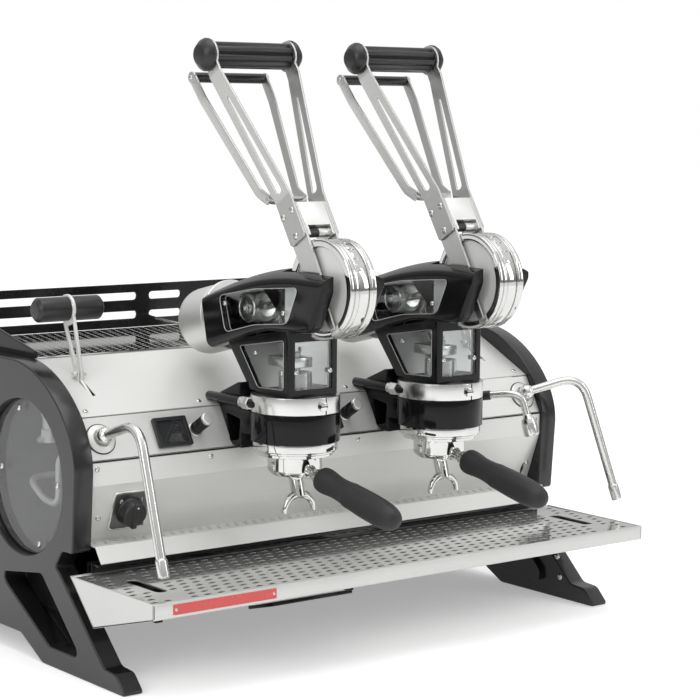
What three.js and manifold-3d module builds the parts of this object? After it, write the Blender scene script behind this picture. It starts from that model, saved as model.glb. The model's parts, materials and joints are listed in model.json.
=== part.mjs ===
// Two-group lever espresso machine for a counter.
// Millimetres, +Z up, front towards -Y. Places are measured from the middle of the
// front edge of the drip tray on the counter, and the finished machine is then moved
// so that the origin lies under the centre of its box.
import * as THREE from 'three';
import { mergeVertices } from 'three/addons/utils/BufferGeometryUtils.js';
import Module from 'manifold-3d';

const wasm = await Module();
wasm.setup();

// Driving dimensions of the machine
const machineWidth = 800;
const plateThickness = 27;
const seat = 0.3;
const overrun = 20;
const groupSpacing = 240;
const groupDepth = 106;
const originShift = { x: 30, y: 245 };
const fineCut = 0.5;
// A corner's rounding takes at most this share of each side
const roundingShare = 1 / 2.2;
const roundSteps = 22;
const mergeReach = 1e-4;
const halfWidth = machineWidth / 2;
const innerHalf = halfWidth - plateThickness;

// Colours of the finishes
const finish = {
  blackPaint: { color: 0x1b1b1c, roughness: 0.3, metalness: 0.1 },
  steel: { color: 0xc9cac6, roughness: 0.25, metalness: 1 },
  chrome: { color: 0xe4e5e4, roughness: 0.08, metalness: 1 },
  aluminium: { color: 0xc4c5c1, roughness: 0.45, metalness: 1 },
  rubber: { color: 0x242425, roughness: 0.7, metalness: 0 },
  glass: { color: 0x7d8183, roughness: 0.1, metalness: 0.1 },
  screen: { color: 0x2b2b2d, roughness: 0.1, metalness: 0 },
};

// Side plates, outline given as depth and height
const plate = {
  footFront: 65,
  footRear: 257,
  toeHeight: 5,
  toeStep: 83,
  toeStepHeight: 23,
  toeTop: 110,
  toeTopHeight: 25,
  shinTop: 213,
  shinTopHeight: 122,
  notchDepth: 223,
  notchHeight: 129,
  notchBack: 206,
  archFoot: 182,
  archFootHeight: 151,
  archFront: 175,
  archMid: 250,
  topHeight: 377,
  topFront: 330,
  bellyHeight: 28,
  bellyFront: 311,
  bellyRear: 478,
  rearFootFront: 520,
  rearEdge: 590,
  heel: 16,
  rearCorner: 90,
};
// Corners of the slot in the front leg, depth and height
const legSlot = [[352, 100], [258, 114], [173, 34], [174, 25], [239, 25], [350, 88]];
const porthole = { depth: 305, height: 230, radius: 99, thickness: 6, segments: 14 };

// Folded sheet covers, given as depth and height of their bends
const sheet = 2.5;
const fold = {
  seamDepth: 211,
  seamHeight: 313,
  lipDepth: 181,
  lipHeight: 263,
  shelfDepth: 334,
  shelfHeight: 372,
  creaseHeight: 232,
  stepRear: 208,
  stepHeight: 158,
  stepFront: 173,
  apronDepth: 159,
  apronHeight: 139,
  seam: 2,
};
const tapSlot = {
  offset: 327, width: 7, length: 56, lead: 12,
  earGap: 5, earThick: 2.5, earFront: 16, earRear: 20, earRise: 8,
};
const screenGlass = { width: 50, height: 40, bezel: 4, depth: 5, offset: 128, slope: 27 };
const encoder = {
  offset: 92, radius: 10, length: 24, cap: 3, shaft: 3, ribs: 12, slope: 28, ribShare: 0.92,
};
const mainSwitch = {
  offset: 313, height: 197, size: 54, depth: 4, knob: 19, knobDepth: 16,
  grip: 8, gripDepth: 12, gripShare: 0.9, shaft: 4,
};
// Shares of the knob's radius and of its depth
const skirtShares = [[1, 0], [0.94, 0.5], [0.72, 1]];
const sightSlot = { offset: 357, height: 180, tall: 22, wide: 4 };

// Chassis tray, boiler and cup tray
const chassis = {
  floor: 60, sheet: 3, front: 190, rear: 556, lipFront: 166, lipTop: 137, rearTop: 372,
};
const bracket = { offset: 300, width: 10, reach: 48 };
const boiler = { depth: 335, height: 245, radius: 75, half: 290, dome: 28, steps: 24 };
// Shares of the boiler's radius and of its domed end
const domeShares = [[0, 0], [0.6, 0.2], [0.9, 0.6], [1, 1]];
const saddle = { offset: 200, width: 14, half: 60 };
const cupTray = { sheet: 3, slots: 11, rows: 3, slotLength: 40, slotWidth: 5, margin: 22 };
const rail = {
  rear: 573, sheet: 4, top: 438, sideLead: 18, frontRise: 6,
  slotTop: 426, slotHeight: 11, lowerSlotTop: 399,
  post: 21, inset: 26, middleStart: 17, middleWidth: 83, shortSlot: 55,
};

// Drip tray: section given as depth and height
const tray = {
  depth: 188, frontHeight: 105, top: 124, keelDepth: 134, keelHeight: 69, wall: 2, slantShare: 1.3,
};
const grille = {
  sheet: 2, drop: 1, rearGap: 8, columns: 11, rows: 4, slotLength: 20, slotWidth: 7, margin: 14,
};
const fingerSlot = { inset: 46, width: 16, length: 76 };

// Steam taps on the upper cover
const tap = {
  setback: 48, lift: 8, lean: 19, reach: 85, sheet: 4, eye: 16.5, heel: 9, tail: 46, tailWidth: 7,
  gripLength: 96, gripRadius: 15.7, core: 6, taper: 5,
  slotWidth: 7, slotFoot: 20, slotHead: 52, pin: 3.4, pinHalf: 9,
  tailShare: 0.8, tailTipShare: 0.86, waistShare: 1.5, eyeDropShare: 0.8, eyeTurn: 0.9,
};
// Steam wands on their ball sockets
const wand = {
  offset: 351, slope: 28, cup: 19, cupDepth: 7, cupShare: 0.8, ball: 11, tube: 6.3,
  forward: 62, rise: 20, bend: 30, reach: 126, tipHeight: 132, tip: 8, tipLength: 22, swing: 51, sides: 8,
};
// Shares of the nozzle's radius and length, from its mouth up
const wandTipShares = [[0, 1], [0.8, 1], [1, 0.8], [1, 0.4]];
// Hot water spout between the right group and the right wand
const spout = {
  offset: 236, slope: 30, base: 10, baseLength: 15, nutShare: 0.9, tube: 5.2,
  forward: 78, rise: 10, bend: 24, drop: 34, nozzle: 10, nozzleLength: 26, lean: 16, swing: 40, sides: 8,
};
const spoutTipShares = [[0, 1], [0.8, 1], [1, 0.7], [0.9, 0.2]];

// Group heads, heights from the counter and depths from the group's own axis
const collar = { radius: 57, bottom: 278, top: 315, bore: 30 };
const ring = {
  top: 337, nutHalf: 5, nutLow: 321, nutHigh: 332, nutReach: 4, pipe: 6, pipeOffset: 51, pipeHeight: 325,
  pipeStart: 10, union: 9, unionLength: 14, unionDepth: 31,
};
const liner = { radius: 21, bore: 16.5, floor: 340, top: 364 };
const arm = {
  half: 44, inside: 20, insideLow: 283, insideHigh: 313, chin: 56, chinHeight: 263,
  heelHeight: 266, rootHeight: 313.25, tipDepth: 123, high: 347, highDepth: 64, frontDepth: 58,
  lowHigh: 315, windowRound: 3,
};
const armWindow = [[89, 305], [58, 300], [61, 274], [78, 270]];
const bayonet = {
  radius: 54.5, step: 266, lipRadius: 48, bottom: 260, bore: 36.5, groove: 43.5, grooveLow: 262.4,
  unlock: 50, gapEase: 2.5,
};
const house = {
  half: 48, corner: 10, lowHalf: 38, lowWall: 6.5, lowFront: -38,
  lowRearTop: 97, lowRearRise: 59.7, lowRearFoot: 45, lowTop: 425, lowCeiling: 412, bayHalf: 30.3, bayRear: -12, baySill: 422.4, wall: 8, cavityRear: 124,
  cavityFrontLow: 428, cavityFrontTop: 483, cavityRearTop: 451, cavityRearLow: 393,
  frontGlassHalf: 29, frontGlassLow: 346, frontGlassHigh: 406, windowRound: 9,
};
// Rows of depth, underside height, side height and crown
const houseStations = [
  [-116, 479, 484, 6],
  [-98, 452, 486, 9],
  [-78, 422, 487, 10],
  [-46, 420, 487, 11],
  [-2, 419, 483, 13],
  [44, 409, 475, 13],
  [89, 396, 463, 13],
  [124, 386, 453, 12],
  [152, 378, 443, 12],
];
const crownShares = [[0.96, 0], [0.74, 0.62], [0.36, 0.93]];
const sideWindow = [[100, 455], [24, 469], [-68, 477], [-46, 431], [24, 424], [86, 409]];
const lowWindow = [[68, 393], [-26, 408], [-26, 346], [28, 344]];
const can = {
  tilt: 13, axisDepth: 110, axisHeight: 431, radius: 44, flange: 46, flangeLength: 6, wall: 4, start: 26,
  length: 80, dome: 18, crownShare: 0.72, crownDrop: 4, steps: 20,
};
const springRod = {
  radius: 8, follower: 31, followerStart: 31, followerLength: 4, tail: 70,
  head: 19, headStart: -50, headLength: 26, cheekShare: 0.62, nose: 5, noseStart: -124,
};
const coil = {
  radius: 23, wire: 2.6, wireShare: 1.15, turns: 5, sides: 5, stepsPerTurn: 8, length: 38,
};
const brewPiston = {
  head: 16, headLow: 340.3, headHigh: 354, rod: 6.5, rodTop: 389,
  yokeHalf: 17, yokeFront: -14, yokeRear: 36, yokeLow: 370, yokeHigh: 383,
};

// Lever, measured along its own line from the hub
const hub = { y: -76, height: 474, lean: 32.4, pin: 5, pinHalf: 40 };
const wheel = {
  radius: 62.5, half: 20.3, rim: 53, web: 2.5, hubRadius: 15,
  steps: 24, slots: 10, slotHalf: 5, slotLength: 11, slotDepth: 3,
};
const fork = {
  inner: 20.8, sheet: 3, eye: 14, half: 16.5, blockLow: 68, blockHigh: 114.5, cheekWide: 60,
  notchHalf: 17, notchHigh: 81.5, roller: 6, rollerUp: 75.3, rollerBack: -7,
};
const lever = {
  sheet: 3, low: 67.7, high: 337.6, neckHalf: 12.5, eye: 20, eyeTurn: 0.95, splay: 61,
  bendLow: 128, bendHigh: 310, half: 16.5, slotLow: 8, slotHigh: 151, slotHalf: 6, slotTip: 1.8,
};
const grip = {
  radius: 17, flutes: 8, fluteDepth: 2, fluteSteps: 4, sharpness: 8,
  core: 8, cap: 21, capLength: 14, capFace: 12,
};
const release = {
  back: 26, up: 141, pin: 4, foot: 30, width: 14, sheet: 3, rootOut: 29, heelBack: 37, heelUp: 158,
  kinkOut: 54, kinkBack: 49, kinkUp: 301, topOut: 56.4, topBack: 51.5, topUp: 337, bar: 5.6,
};

// Portafilter: heights from the counter
const filter = {
  rim: 35.5, top: 269.5, earLow: 262.8, earHigh: 268, ear: 41.5, earHalf: 8, earRoot: 34,
  shoulder: 258, body: 34.5, bowlLow: 240, low: 234, lowRadius: 29, bore: 31, floor: 241,
};
const neck = { radius: 6.5, collar: 9, start: 28, end: 58, height: 248, slope: 12 };
const stem = { radius: 9, top: 236, low: 206 };
const twinSpout = { radius: 22.5, tube: 5.5, low: 187, ahead: 9, steps: 9 };
const handleShares = [
  // share of the handle's length, share of its largest radius
  [0, 0.74], [0.02, 0.92], [0.09, 0.9], [0.2, 0.72], [0.36, 0.76],
  [0.44, 0.86], [0.62, 1], [0.82, 0.98], [0.93, 0.82], [0.985, 0.5],
];
const handle = { radius: 17.5, end: 211 };

const radians = THREE.MathUtils.degToRad;

// A closed geometry as a solid that can be cut and joined
function solid(geometry) {
  const bare = geometry.clone();
  bare.deleteAttribute('normal');
  bare.deleteAttribute('uv');
  const merged = mergeVertices(bare, mergeReach);
  const corners = merged.index.array;
  const kept = [];
  for (let i = 0; i < corners.length; i += 3) {
    const [a, b, c] = corners.slice(i, i + 3);
    if (a !== b && b !== c && c !== a) kept.push(a, b, c);
  }
  return new wasm.Manifold(new wasm.Mesh({
    numProp: 3,
    vertProperties: new Float32Array(merged.attributes.position.array),
    triVerts: new Uint32Array(kept),
  }));
}

function toGeometry(body) {
  const mesh = body.getMesh();
  const geometry = new THREE.BufferGeometry();
  geometry.setAttribute('position', new THREE.BufferAttribute(mesh.vertProperties, 3));
  geometry.setIndex(new THREE.BufferAttribute(mesh.triVerts, 1));
  geometry.computeVertexNormals();
  return geometry;
}

function join(...geometries) {
  return toGeometry(geometries.map(solid).reduce((a, b) => a.add(b)));
}

function cut(geometry, ...tools) {
  return toGeometry(tools.map(solid).reduce((a, b) => a.subtract(b), solid(geometry)));
}

function shapeOf(points) {
  return new THREE.Shape(points.map(([a, b]) => new THREE.Vector2(a, b)));
}

// A polygon whose corners are rounded by the given radius
function roundedShape(points, radius, steps = 4) {
  const corners = points.map(([a, b]) => new THREE.Vector2(a, b));
  const outline = [];
  corners.forEach((corner, i) => {
    const before = corners[(i + corners.length - 1) % corners.length];
    const after = corners[(i + 1) % corners.length];
    const back = before.clone().sub(corner);
    const ahead = after.clone().sub(corner);
    const reach = Math.min(radius, back.length() * roundingShare, ahead.length() * roundingShare);
    const start = corner.clone().add(back.setLength(reach));
    const end = corner.clone().add(ahead.setLength(reach));
    const curve = new THREE.QuadraticBezierCurve(start, corner, end);
    outline.push(...curve.getPoints(steps));
  });
  return new THREE.Shape(outline);
}

// A flat outline made into a plate; its holes are cut afterwards
function extrude(shape, depth, curveSegments = 12) {
  const outline = new THREE.Shape(shape.getPoints(curveSegments));
  const body = new THREE.ExtrudeGeometry(outline, { depth, bevelEnabled: false });
  const tools = shape.holes.map((hole) => new THREE.ExtrudeGeometry(
    new THREE.Shape(hole.getPoints(curveSegments)),
    { depth: depth + 2 * overrun, bevelEnabled: false },
  ).translate(0, 0, -overrun));
  return tools.length ? cut(body, ...tools) : body;
}

// Outline of depth and height, extruded across the machine from x0 to x1
function acrossX(shape, x0, x1, curveSegments) {
  const turn = new THREE.Matrix4().set(0, 0, 1, x0, 1, 0, 0, 0, 0, 1, 0, 0, 0, 0, 0, 1);
  return extrude(shape, x1 - x0, curveSegments).applyMatrix4(turn);
}

// Outline of width and height, extruded from y0 back to y1
function acrossY(shape, y0, y1, curveSegments) {
  return extrude(shape, y1 - y0, curveSegments).rotateX(Math.PI / 2).translate(0, y1, 0);
}

function upZ(shape, z0, z1, curveSegments) {
  return extrude(shape, z1 - z0, curveSegments).translate(0, 0, z0);
}

function box(x0, x1, y0, y1, z0, z1) {
  return new THREE.BoxGeometry(x1 - x0, y1 - y0, z1 - z0)
    .translate((x0 + x1) / 2, (y0 + y1) / 2, (z0 + z1) / 2);
}

// Closed profile of radius and height, turned round the upright axis
function turned(profile, steps) {
  const points = profile.map(([r, z]) => new THREE.Vector2(r, z));
  if (THREE.ShapeUtils.area(points) < 0) points.reverse();
  return new THREE.LatheGeometry(points, steps).rotateX(Math.PI / 2);
}

// A ring profile that doesn't touch the axis is closed on itself
function turnedRing(profile, steps) {
  return turned([...profile, profile[0]], steps);
}

// Upright axis laid along X, the profile's height becoming X
function alongX(geometry) {
  return geometry.rotateY(Math.PI / 2);
}

// Upright axis laid along Y, the profile's height becoming Y
function alongY(geometry) {
  return geometry.rotateX(-Math.PI / 2);
}

function rod(radius, x0, x1, y, z, steps = 16) {
  return new THREE.CylinderGeometry(radius, radius, x1 - x0, steps)
    .rotateZ(Math.PI / 2).translate((x0 + x1) / 2, y, z);
}

// A round tube along a curve, closed at both ends
function tubeAlong(points, radius, sides, steps) {
  const curve = new THREE.CatmullRomCurve3(points, false, 'centripetal');
  const section = new THREE.Shape(new THREE.EllipseCurve(0, 0, radius, radius, 0, 2 * Math.PI)
    .getPoints(sides).slice(0, sides));
  return new THREE.ExtrudeGeometry(section, { steps, extrudePath: curve });
}

// Points of a path whose one corner is rounded by the bend's radius
function bentPath(start, corner, end, bend, steps = 5) {
  const back = start.clone().sub(corner).setLength(bend);
  const ahead = end.clone().sub(corner).setLength(bend);
  const from = corner.clone().add(back);
  const to = corner.clone().add(ahead);
  const curve = new THREE.QuadraticBezierCurve3(from, corner, to);
  return [start, ...curve.getPoints(steps), end];
}

// A flat strip between two points, wide across the given direction
function strip(from, to, width, thickness, across) {
  const along = to.clone().sub(from);
  const length = along.length();
  along.normalize();
  const side = across.clone().addScaledVector(along, -across.dot(along)).normalize();
  const face = side.clone().cross(along);
  const frame = new THREE.Matrix4().makeBasis(side, along, face);
  frame.setPosition(from.clone().add(to).multiplyScalar(1 / 2));
  return new THREE.BoxGeometry(width, length + thickness, thickness).applyMatrix4(frame);
}

function mesh(name, geometry, look) {
  const piece = new THREE.Mesh(toGeometry(solid(geometry)), new THREE.MeshStandardMaterial(look));
  piece.name = name;
  return piece;
}

// Side plate: an arch on two feet with a round port and a slot in the front leg
function sidePlateOutline() {
  const p = plate;
  const shape = new THREE.Shape();
  shape.moveTo(p.footFront, 0);
  shape.lineTo(p.footRear, 0);
  shape.lineTo(p.bellyFront, p.bellyHeight);
  shape.lineTo(p.bellyRear, p.bellyHeight);
  shape.lineTo(p.rearFootFront, 0);
  shape.lineTo(p.rearEdge - p.heel, 0);
  shape.lineTo(p.rearEdge, p.heel);
  shape.lineTo(p.rearEdge, p.topHeight - p.rearCorner);
  shape.quadraticCurveTo(p.rearEdge, p.topHeight, p.rearEdge - p.rearCorner, p.topHeight);
  shape.lineTo(p.topFront, p.topHeight);
  shape.bezierCurveTo(
    p.topFront - (p.topFront - p.archFront) / 2, p.topHeight,
    p.archFront, p.archMid + (p.topHeight - p.archMid) / 2,
    p.archFront, p.archMid,
  );
  shape.lineTo(p.archFoot, p.archFootHeight);
  shape.lineTo(p.notchBack, p.archFootHeight);
  shape.lineTo(p.notchDepth, p.notchHeight);
  shape.lineTo(p.shinTop, p.shinTopHeight);
  shape.lineTo(p.toeTop, p.toeTopHeight);
  shape.lineTo(p.toeStep, p.toeStepHeight);
  shape.lineTo(p.footFront, p.toeHeight);
  return shape;
}

function sidePlate() {
  const shape = sidePlateOutline();
  const port = new THREE.Path();
  port.absarc(porthole.depth, porthole.height, porthole.radius, 0, 2 * Math.PI, true);
  const slot = roundedShape(legSlot, plate.toeHeight, 3);
  shape.holes.push(port, new THREE.Path(slot.getPoints()));
  return acrossX(shape, -plateThickness / 2, plateThickness / 2, porthole.segments);
}

function addSidePlates(machine) {
  for (const [side, sign] of [['left', -1], ['right', 1]]) {
    const piece = mesh(`side_plate_${side}`, sidePlate(), finish.blackPaint);
    piece.position.x = sign * (halfWidth - plateThickness / 2);
    const disc = new THREE.Shape();
    disc.absarc(0, 0, porthole.radius - seat, 0, 2 * Math.PI, false);
    const pane = acrossX(disc, -porthole.thickness / 2, porthole.thickness / 2, porthole.segments);
    const window = mesh(`side_window_${side}`, pane, finish.glass);
    window.position.set(piece.position.x, porthole.depth, porthole.height);
    machine.add(piece, window);
  }
}

// A band of sheet following bends, given by its outer face from bottom to top
function foldedSheet(points, half) {
  const outer = points.map(([y, z]) => new THREE.Vector2(y, z));
  const inner = outer.map((point, i) => {
    const before = outer[Math.max(i - 1, 0)];
    const after = outer[Math.min(i + 1, outer.length - 1)];
    const first = (i ? point.clone().sub(before) : after.clone().sub(point)).normalize();
    const onward = i < outer.length - 1 ? after.clone().sub(point) : point.clone().sub(before);
    const last = onward.normalize();
    const normal = new THREE.Vector2(first.y + last.y, -first.x - last.x).normalize();
    const spread = Math.max(normal.dot(new THREE.Vector2(first.y, -first.x)), 1 / 2);
    return point.clone().addScaledVector(normal, sheet / spread);
  });
  return acrossX(new THREE.Shape([...outer, ...inner.reverse()]), -half, half);
}

function bandAngle() {
  return Math.atan2(fold.seamDepth - fold.lipDepth, fold.seamHeight - fold.lipHeight);
}

// A point on the control band's face, given by its distance up the slope
function onBand(x, up) {
  const angle = bandAngle();
  const depth = fold.lipDepth + up * Math.sin(angle);
  return new THREE.Vector3(x, depth, fold.lipHeight + up * Math.cos(angle));
}

// Turns a piece that faces -Y so that it faces square off the control band
function faceBand(piece, x, up, lift = seat) {
  const angle = bandAngle();
  const off = new THREE.Vector3(0, -Math.cos(angle) * lift, Math.sin(angle) * lift);
  piece.position.copy(onBand(x, up)).add(off);
  piece.rotation.x = -angle;
  return piece;
}

function coverAngle() {
  return Math.atan2(fold.shelfHeight - fold.seamHeight, fold.shelfDepth - fold.seamDepth);
}

// Pin of the steam taps, set back from the shelf's front edge and lifted off the cover
function tapPivot() {
  const depth = fold.shelfDepth - tap.setback;
  const height = fold.seamHeight + (depth - fold.seamDepth) * Math.tan(coverAngle()) + tap.lift;
  return { depth, height };
}

function groupCentres() {
  return [-groupSpacing / 2, groupSpacing / 2];
}

function upperCover() {
  const lift = fold.seam / 2;
  const cover = foldedSheet([
    [fold.seamDepth + lift * Math.cos(coverAngle()), fold.seamHeight + lift * Math.sin(coverAngle())],
    [fold.shelfDepth, fold.shelfHeight],
  ], innerHalf - seat);
  const angle = coverAngle();
  const middle = (tapPivot().depth - fold.seamDepth) / Math.cos(angle) - tapSlot.lead;
  const tools = [-tapSlot.offset, tapSlot.offset].map((x) => box(
    x - tapSlot.width / 2, x + tapSlot.width / 2,
    middle - tapSlot.length / 2, middle + tapSlot.length / 2, -overrun, overrun,
  ).rotateX(angle).translate(0, fold.seamDepth, fold.seamHeight));
  return cut(join(cover, ...tapEars()), ...tools);
}

// Pierced ears either side of each tap slot, which carry the tap's pin
function tapEars() {
  const t = tapSlot;
  const pivot = tapPivot();
  const front = pivot.depth - t.earFront;
  const rear = pivot.depth + t.earRear;
  const slope = Math.tan(coverAngle());
  const below = (y) => fold.seamHeight + (y - fold.seamDepth) * slope - sheet / 2;
  const ear = roundedShape([
    [front, below(front)], [rear, below(rear)],
    [pivot.depth + tap.heel, pivot.height + t.earRise], [pivot.depth - tap.heel, pivot.height + t.earRise],
  ], sheet, 2);
  const eye = new THREE.Path();
  eye.absarc(pivot.depth, pivot.height, tap.pin + 2 * seat, 0, 2 * Math.PI, true);
  ear.holes.push(eye);
  return [-1, 1].flatMap((sign) => [-1, 1].map((side) => {
    const near = sign * t.offset + side * t.earGap;
    const far = near + side * t.earThick;
    return acrossX(ear, Math.min(near, far), Math.max(near, far), 4);
  }));
}

function controlBand() {
  const out = Math.sin(bandAngle()) * fold.seam / 2;
  const up = Math.cos(bandAngle()) * fold.seam / 2;
  return foldedSheet([
    [fold.lipDepth + out, fold.lipHeight + up],
    [fold.seamDepth - out, fold.seamHeight - up],
  ], innerHalf - seat);
}

// Splash panel, creased below the control band, with the perforated cup step at its foot
function splashPanel() {
  const lift = fold.seam / 2;
  const body = foldedSheet([
    [fold.apronDepth, fold.apronHeight],
    [fold.stepFront, fold.stepHeight],
    [fold.stepRear, fold.stepHeight],
    [fold.lipDepth, fold.creaseHeight],
    [fold.lipDepth, fold.lipHeight - lift],
  ], innerHalf - seat);
  const slots = cupTray.slots;
  const pitch = (2 * innerHalf - 2 * cupTray.margin) / slots;
  const tools = Array.from({ length: slots }, (_, i) => {
    const x = -innerHalf + cupTray.margin + (i + 1 / 2) * pitch;
    const y = (fold.stepFront + fold.stepRear) / 2;
    return box(
      x - cupTray.slotLength / 2, x + cupTray.slotLength / 2,
      y - cupTray.slotWidth / 2, y + cupTray.slotWidth / 2,
      fold.stepHeight - overrun / 2, fold.stepHeight + overrun / 2,
    );
  });
  tools.push(acrossY(sightLens(), fold.lipDepth - overrun, fold.stepRear + overrun));
  return cut(body, ...tools);
}

// Pointed slot in front of the sight glass
function sightLens() {
  const { offset, height, wide, tall } = sightSlot;
  return roundedShape([
    [offset - wide / 2, height], [offset, height - tall / 2],
    [offset + wide / 2, height], [offset, height + tall / 2],
  ], wide, 2);
}

// Chassis: a folded floor with front lip and rear wall, tray brackets and boiler saddles
function chassisTray() {
  const c = chassis;
  const half = innerHalf - seat;
  const section = shapeOf([
    [c.lipFront, c.lipTop - c.sheet], [c.front, c.lipTop - c.sheet], [c.front, c.floor], [c.rear + c.sheet, c.floor],
    [c.rear + c.sheet, c.rearTop], [c.rear, c.rearTop], [c.rear, c.floor + c.sheet],
    [c.front + c.sheet, c.floor + c.sheet], [c.front + c.sheet, c.lipTop], [c.lipFront, c.lipTop],
  ]);
  const slope = (tray.top - tray.keelHeight) / (tray.depth - tray.keelDepth);
  const rear = c.front + c.sheet / 2;
  const front = c.front - bracket.reach;
  const rearTop = tray.keelHeight + slope * (rear - tray.keelDepth) - seat * Math.hypot(1, slope);
  const frontTop = rearTop - slope * (rear - front);
  const wedge = shapeOf([[rear, c.floor], [rear, rearTop], [front, frontTop], [front, c.floor]]);
  const pieces = [acrossX(section, -half, half)];
  [-bracket.offset, 0, bracket.offset].forEach((x) => {
    pieces.push(acrossX(wedge, x - bracket.width / 2, x + bracket.width / 2));
  });
  [-saddle.offset, saddle.offset].forEach((x) => pieces.push(box(
    x - saddle.width / 2, x + saddle.width / 2, boiler.depth - saddle.half, boiler.depth + saddle.half,
    c.floor + c.sheet / 2, boiler.height - boiler.radius / 3,
  )));
  const drum = rod(boiler.radius + seat, -innerHalf, innerHalf, boiler.depth, boiler.height, 2 * boiler.steps);
  return cut(join(...pieces), drum);
}

function steamBoiler() {
  const b = boiler;
  const profile = domeShares.map(([out, along]) => [b.radius * out, b.dome * along - b.half]);
  const back = profile.map(([r, h]) => [r, -h]).reverse();
  return alongX(turned([...profile, ...back], b.steps));
}

// A straight slot's outline between two widths and two depths
function slotPath(x0, x1, y0, y1) {
  return new THREE.Path([[x0, y0], [x0, y1], [x1, y1], [x1, y0]].map(([x, y]) => new THREE.Vector2(x, y)));
}

// Top tray for warming cups, a perforated sheet
function cupTop() {
  const t = cupTray;
  const half = innerHalf - seat;
  const front = fold.shelfDepth;
  const rear = rail.rear - seat;
  const shape = shapeOf([[-half, front], [half, front], [half, rear], [-half, rear]]);
  const pitchX = (2 * half - 2 * t.margin) / t.slots;
  const pitchY = (rear - front - 2 * t.margin) / t.rows;
  for (let row = 0; row < t.rows; row += 1) {
    for (let i = 0; i < t.slots; i += 1) {
      const x = -half + t.margin + (i + (row % 2 ? 3 : 1) / 4) * pitchX;
      const y = front + t.margin + (row + 1 / 2) * pitchY;
      shape.holes.push(slotPath(x, x + t.slotLength, y - t.slotWidth / 2, y + t.slotWidth / 2));
    }
  }
  return upZ(shape, fold.shelfHeight + seat, fold.shelfHeight + seat + t.sheet);
}

// Rail round the cup tray: a slotted back and two cheeks that fall towards the front
function cupRail() {
  const r = rail;
  const half = innerHalf - seat;
  const base = fold.shelfHeight + cupTray.sheet + 2 * seat;
  const back = shapeOf([[-half, base], [half, base], [half, r.top], [-half, r.top]]);
  const rows = [[r.slotTop, r.slotHeight], [r.lowerSlotTop, r.slotHeight]];
  const spans = [
    [-half + r.inset, -2 * r.post - r.middleStart],
    [r.middleStart - r.shortSlot, r.middleStart],
    [r.middleStart + r.middleWidth, half - r.inset],
  ];
  rows.forEach(([top, height]) => spans.forEach(([x0, x1]) => {
    const slot = roundedShape([[x0, top - height], [x0, top], [x1, top], [x1, top - height]], height / 2, 1);
    back.holes.push(new THREE.Path(slot.getPoints()));
  }));
  const cheek = roundedShape([
    [fold.shelfDepth - r.sideLead, base], [r.rear + r.sheet, base], [r.rear + r.sheet, r.top],
    [r.rear - r.inset, r.top], [fold.shelfDepth - r.sideLead, base + r.frontRise],
  ], r.frontRise, 3);
  const slit = roundedShape([
    [r.rear - 6 * r.inset, r.lowerSlotTop - r.slotHeight], [r.rear - r.inset, r.lowerSlotTop - r.slotHeight],
    [r.rear - r.inset, r.lowerSlotTop], [r.rear - 5 * r.inset, r.lowerSlotTop],
  ], r.slotHeight / 3, 2);
  cheek.holes.push(new THREE.Path(slit.getPoints()));
  return join(
    acrossY(back, r.rear, r.rear + r.sheet),
    acrossX(cheek, -half, -half + r.sheet),
    acrossX(cheek, half - r.sheet, half),
  );
}

// Drip tray: a keeled trough with closed ends
function dripTray() {
  const t = tray;
  const outer = shapeOf([[0, t.frontHeight], [t.keelDepth, t.keelHeight], [t.depth, t.top], [0, t.top]]);
  const slant = t.slantShare * t.wall;
  const inner = shapeOf([
    [t.wall, t.frontHeight + t.wall], [t.keelDepth - t.wall / 4, t.keelHeight + slant],
    [t.depth - slant, t.top + t.wall / 4], [t.depth - slant, t.top + t.wall], [t.wall, t.top + t.wall],
  ]);
  return cut(
    acrossX(outer, -halfWidth, halfWidth),
    acrossX(inner, -halfWidth + t.wall, halfWidth - t.wall),
  );
}

// Grille over the drip tray, with rows of slots and a finger slot near each end
function trayGrille() {
  const g = grille;
  const half = halfWidth - tray.wall - seat;
  const front = tray.wall + seat;
  const rear = tray.depth - g.rearGap;
  const shape = shapeOf([[-half, front], [half, front], [half, rear], [-half, rear]]);
  const pitchX = (2 * half - 2 * g.margin) / g.columns;
  const pitchY = (rear - front - 2 * g.margin) / g.rows;
  const ends = [-1, 1].map((sign) => sign * (half - fingerSlot.inset));
  const middle = (front + rear) / 2;
  const finger = { across: fingerSlot.width / 2, along: fingerSlot.length / 2 };
  ends.forEach((x) => shape.holes.push(
    slotPath(x - finger.across, x + finger.across, middle - finger.along, middle + finger.along),
  ));
  const keepOff = (g.slotLength + fingerSlot.width + g.slotWidth) / 2;
  for (let row = 0; row < g.rows; row += 1) {
    for (let i = 0; i < g.columns; i += 1) {
      const x = -half + g.margin + (i + (row % 2 ? 2 : 1) / 3) * pitchX - g.slotLength / 2;
      const y = front + g.margin + (row + 1 / 2) * pitchY - g.slotWidth / 2;
      if (ends.some((end) => Math.abs(x + g.slotLength / 2 - end) < keepOff)) continue;
      shape.holes.push(slotPath(x, x + g.slotLength, y, y + g.slotWidth));
    }
  }
  return upZ(shape, tray.top - g.drop - g.sheet, tray.top - g.drop);
}

// Display in its raised bezel, drawn facing -Y with its back at zero
function display() {
  const s = screenGlass;
  const half = s.width / 2;
  const frame = box(-half, half, -s.depth, 0, -s.height / 2, s.height / 2);
  const wide = half - s.bezel;
  const tall = s.height / 2 - s.bezel;
  const recess = box(-wide, wide, -s.depth - overrun, -s.depth / 2, -tall, tall);
  return cut(frame, recess);
}

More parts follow.
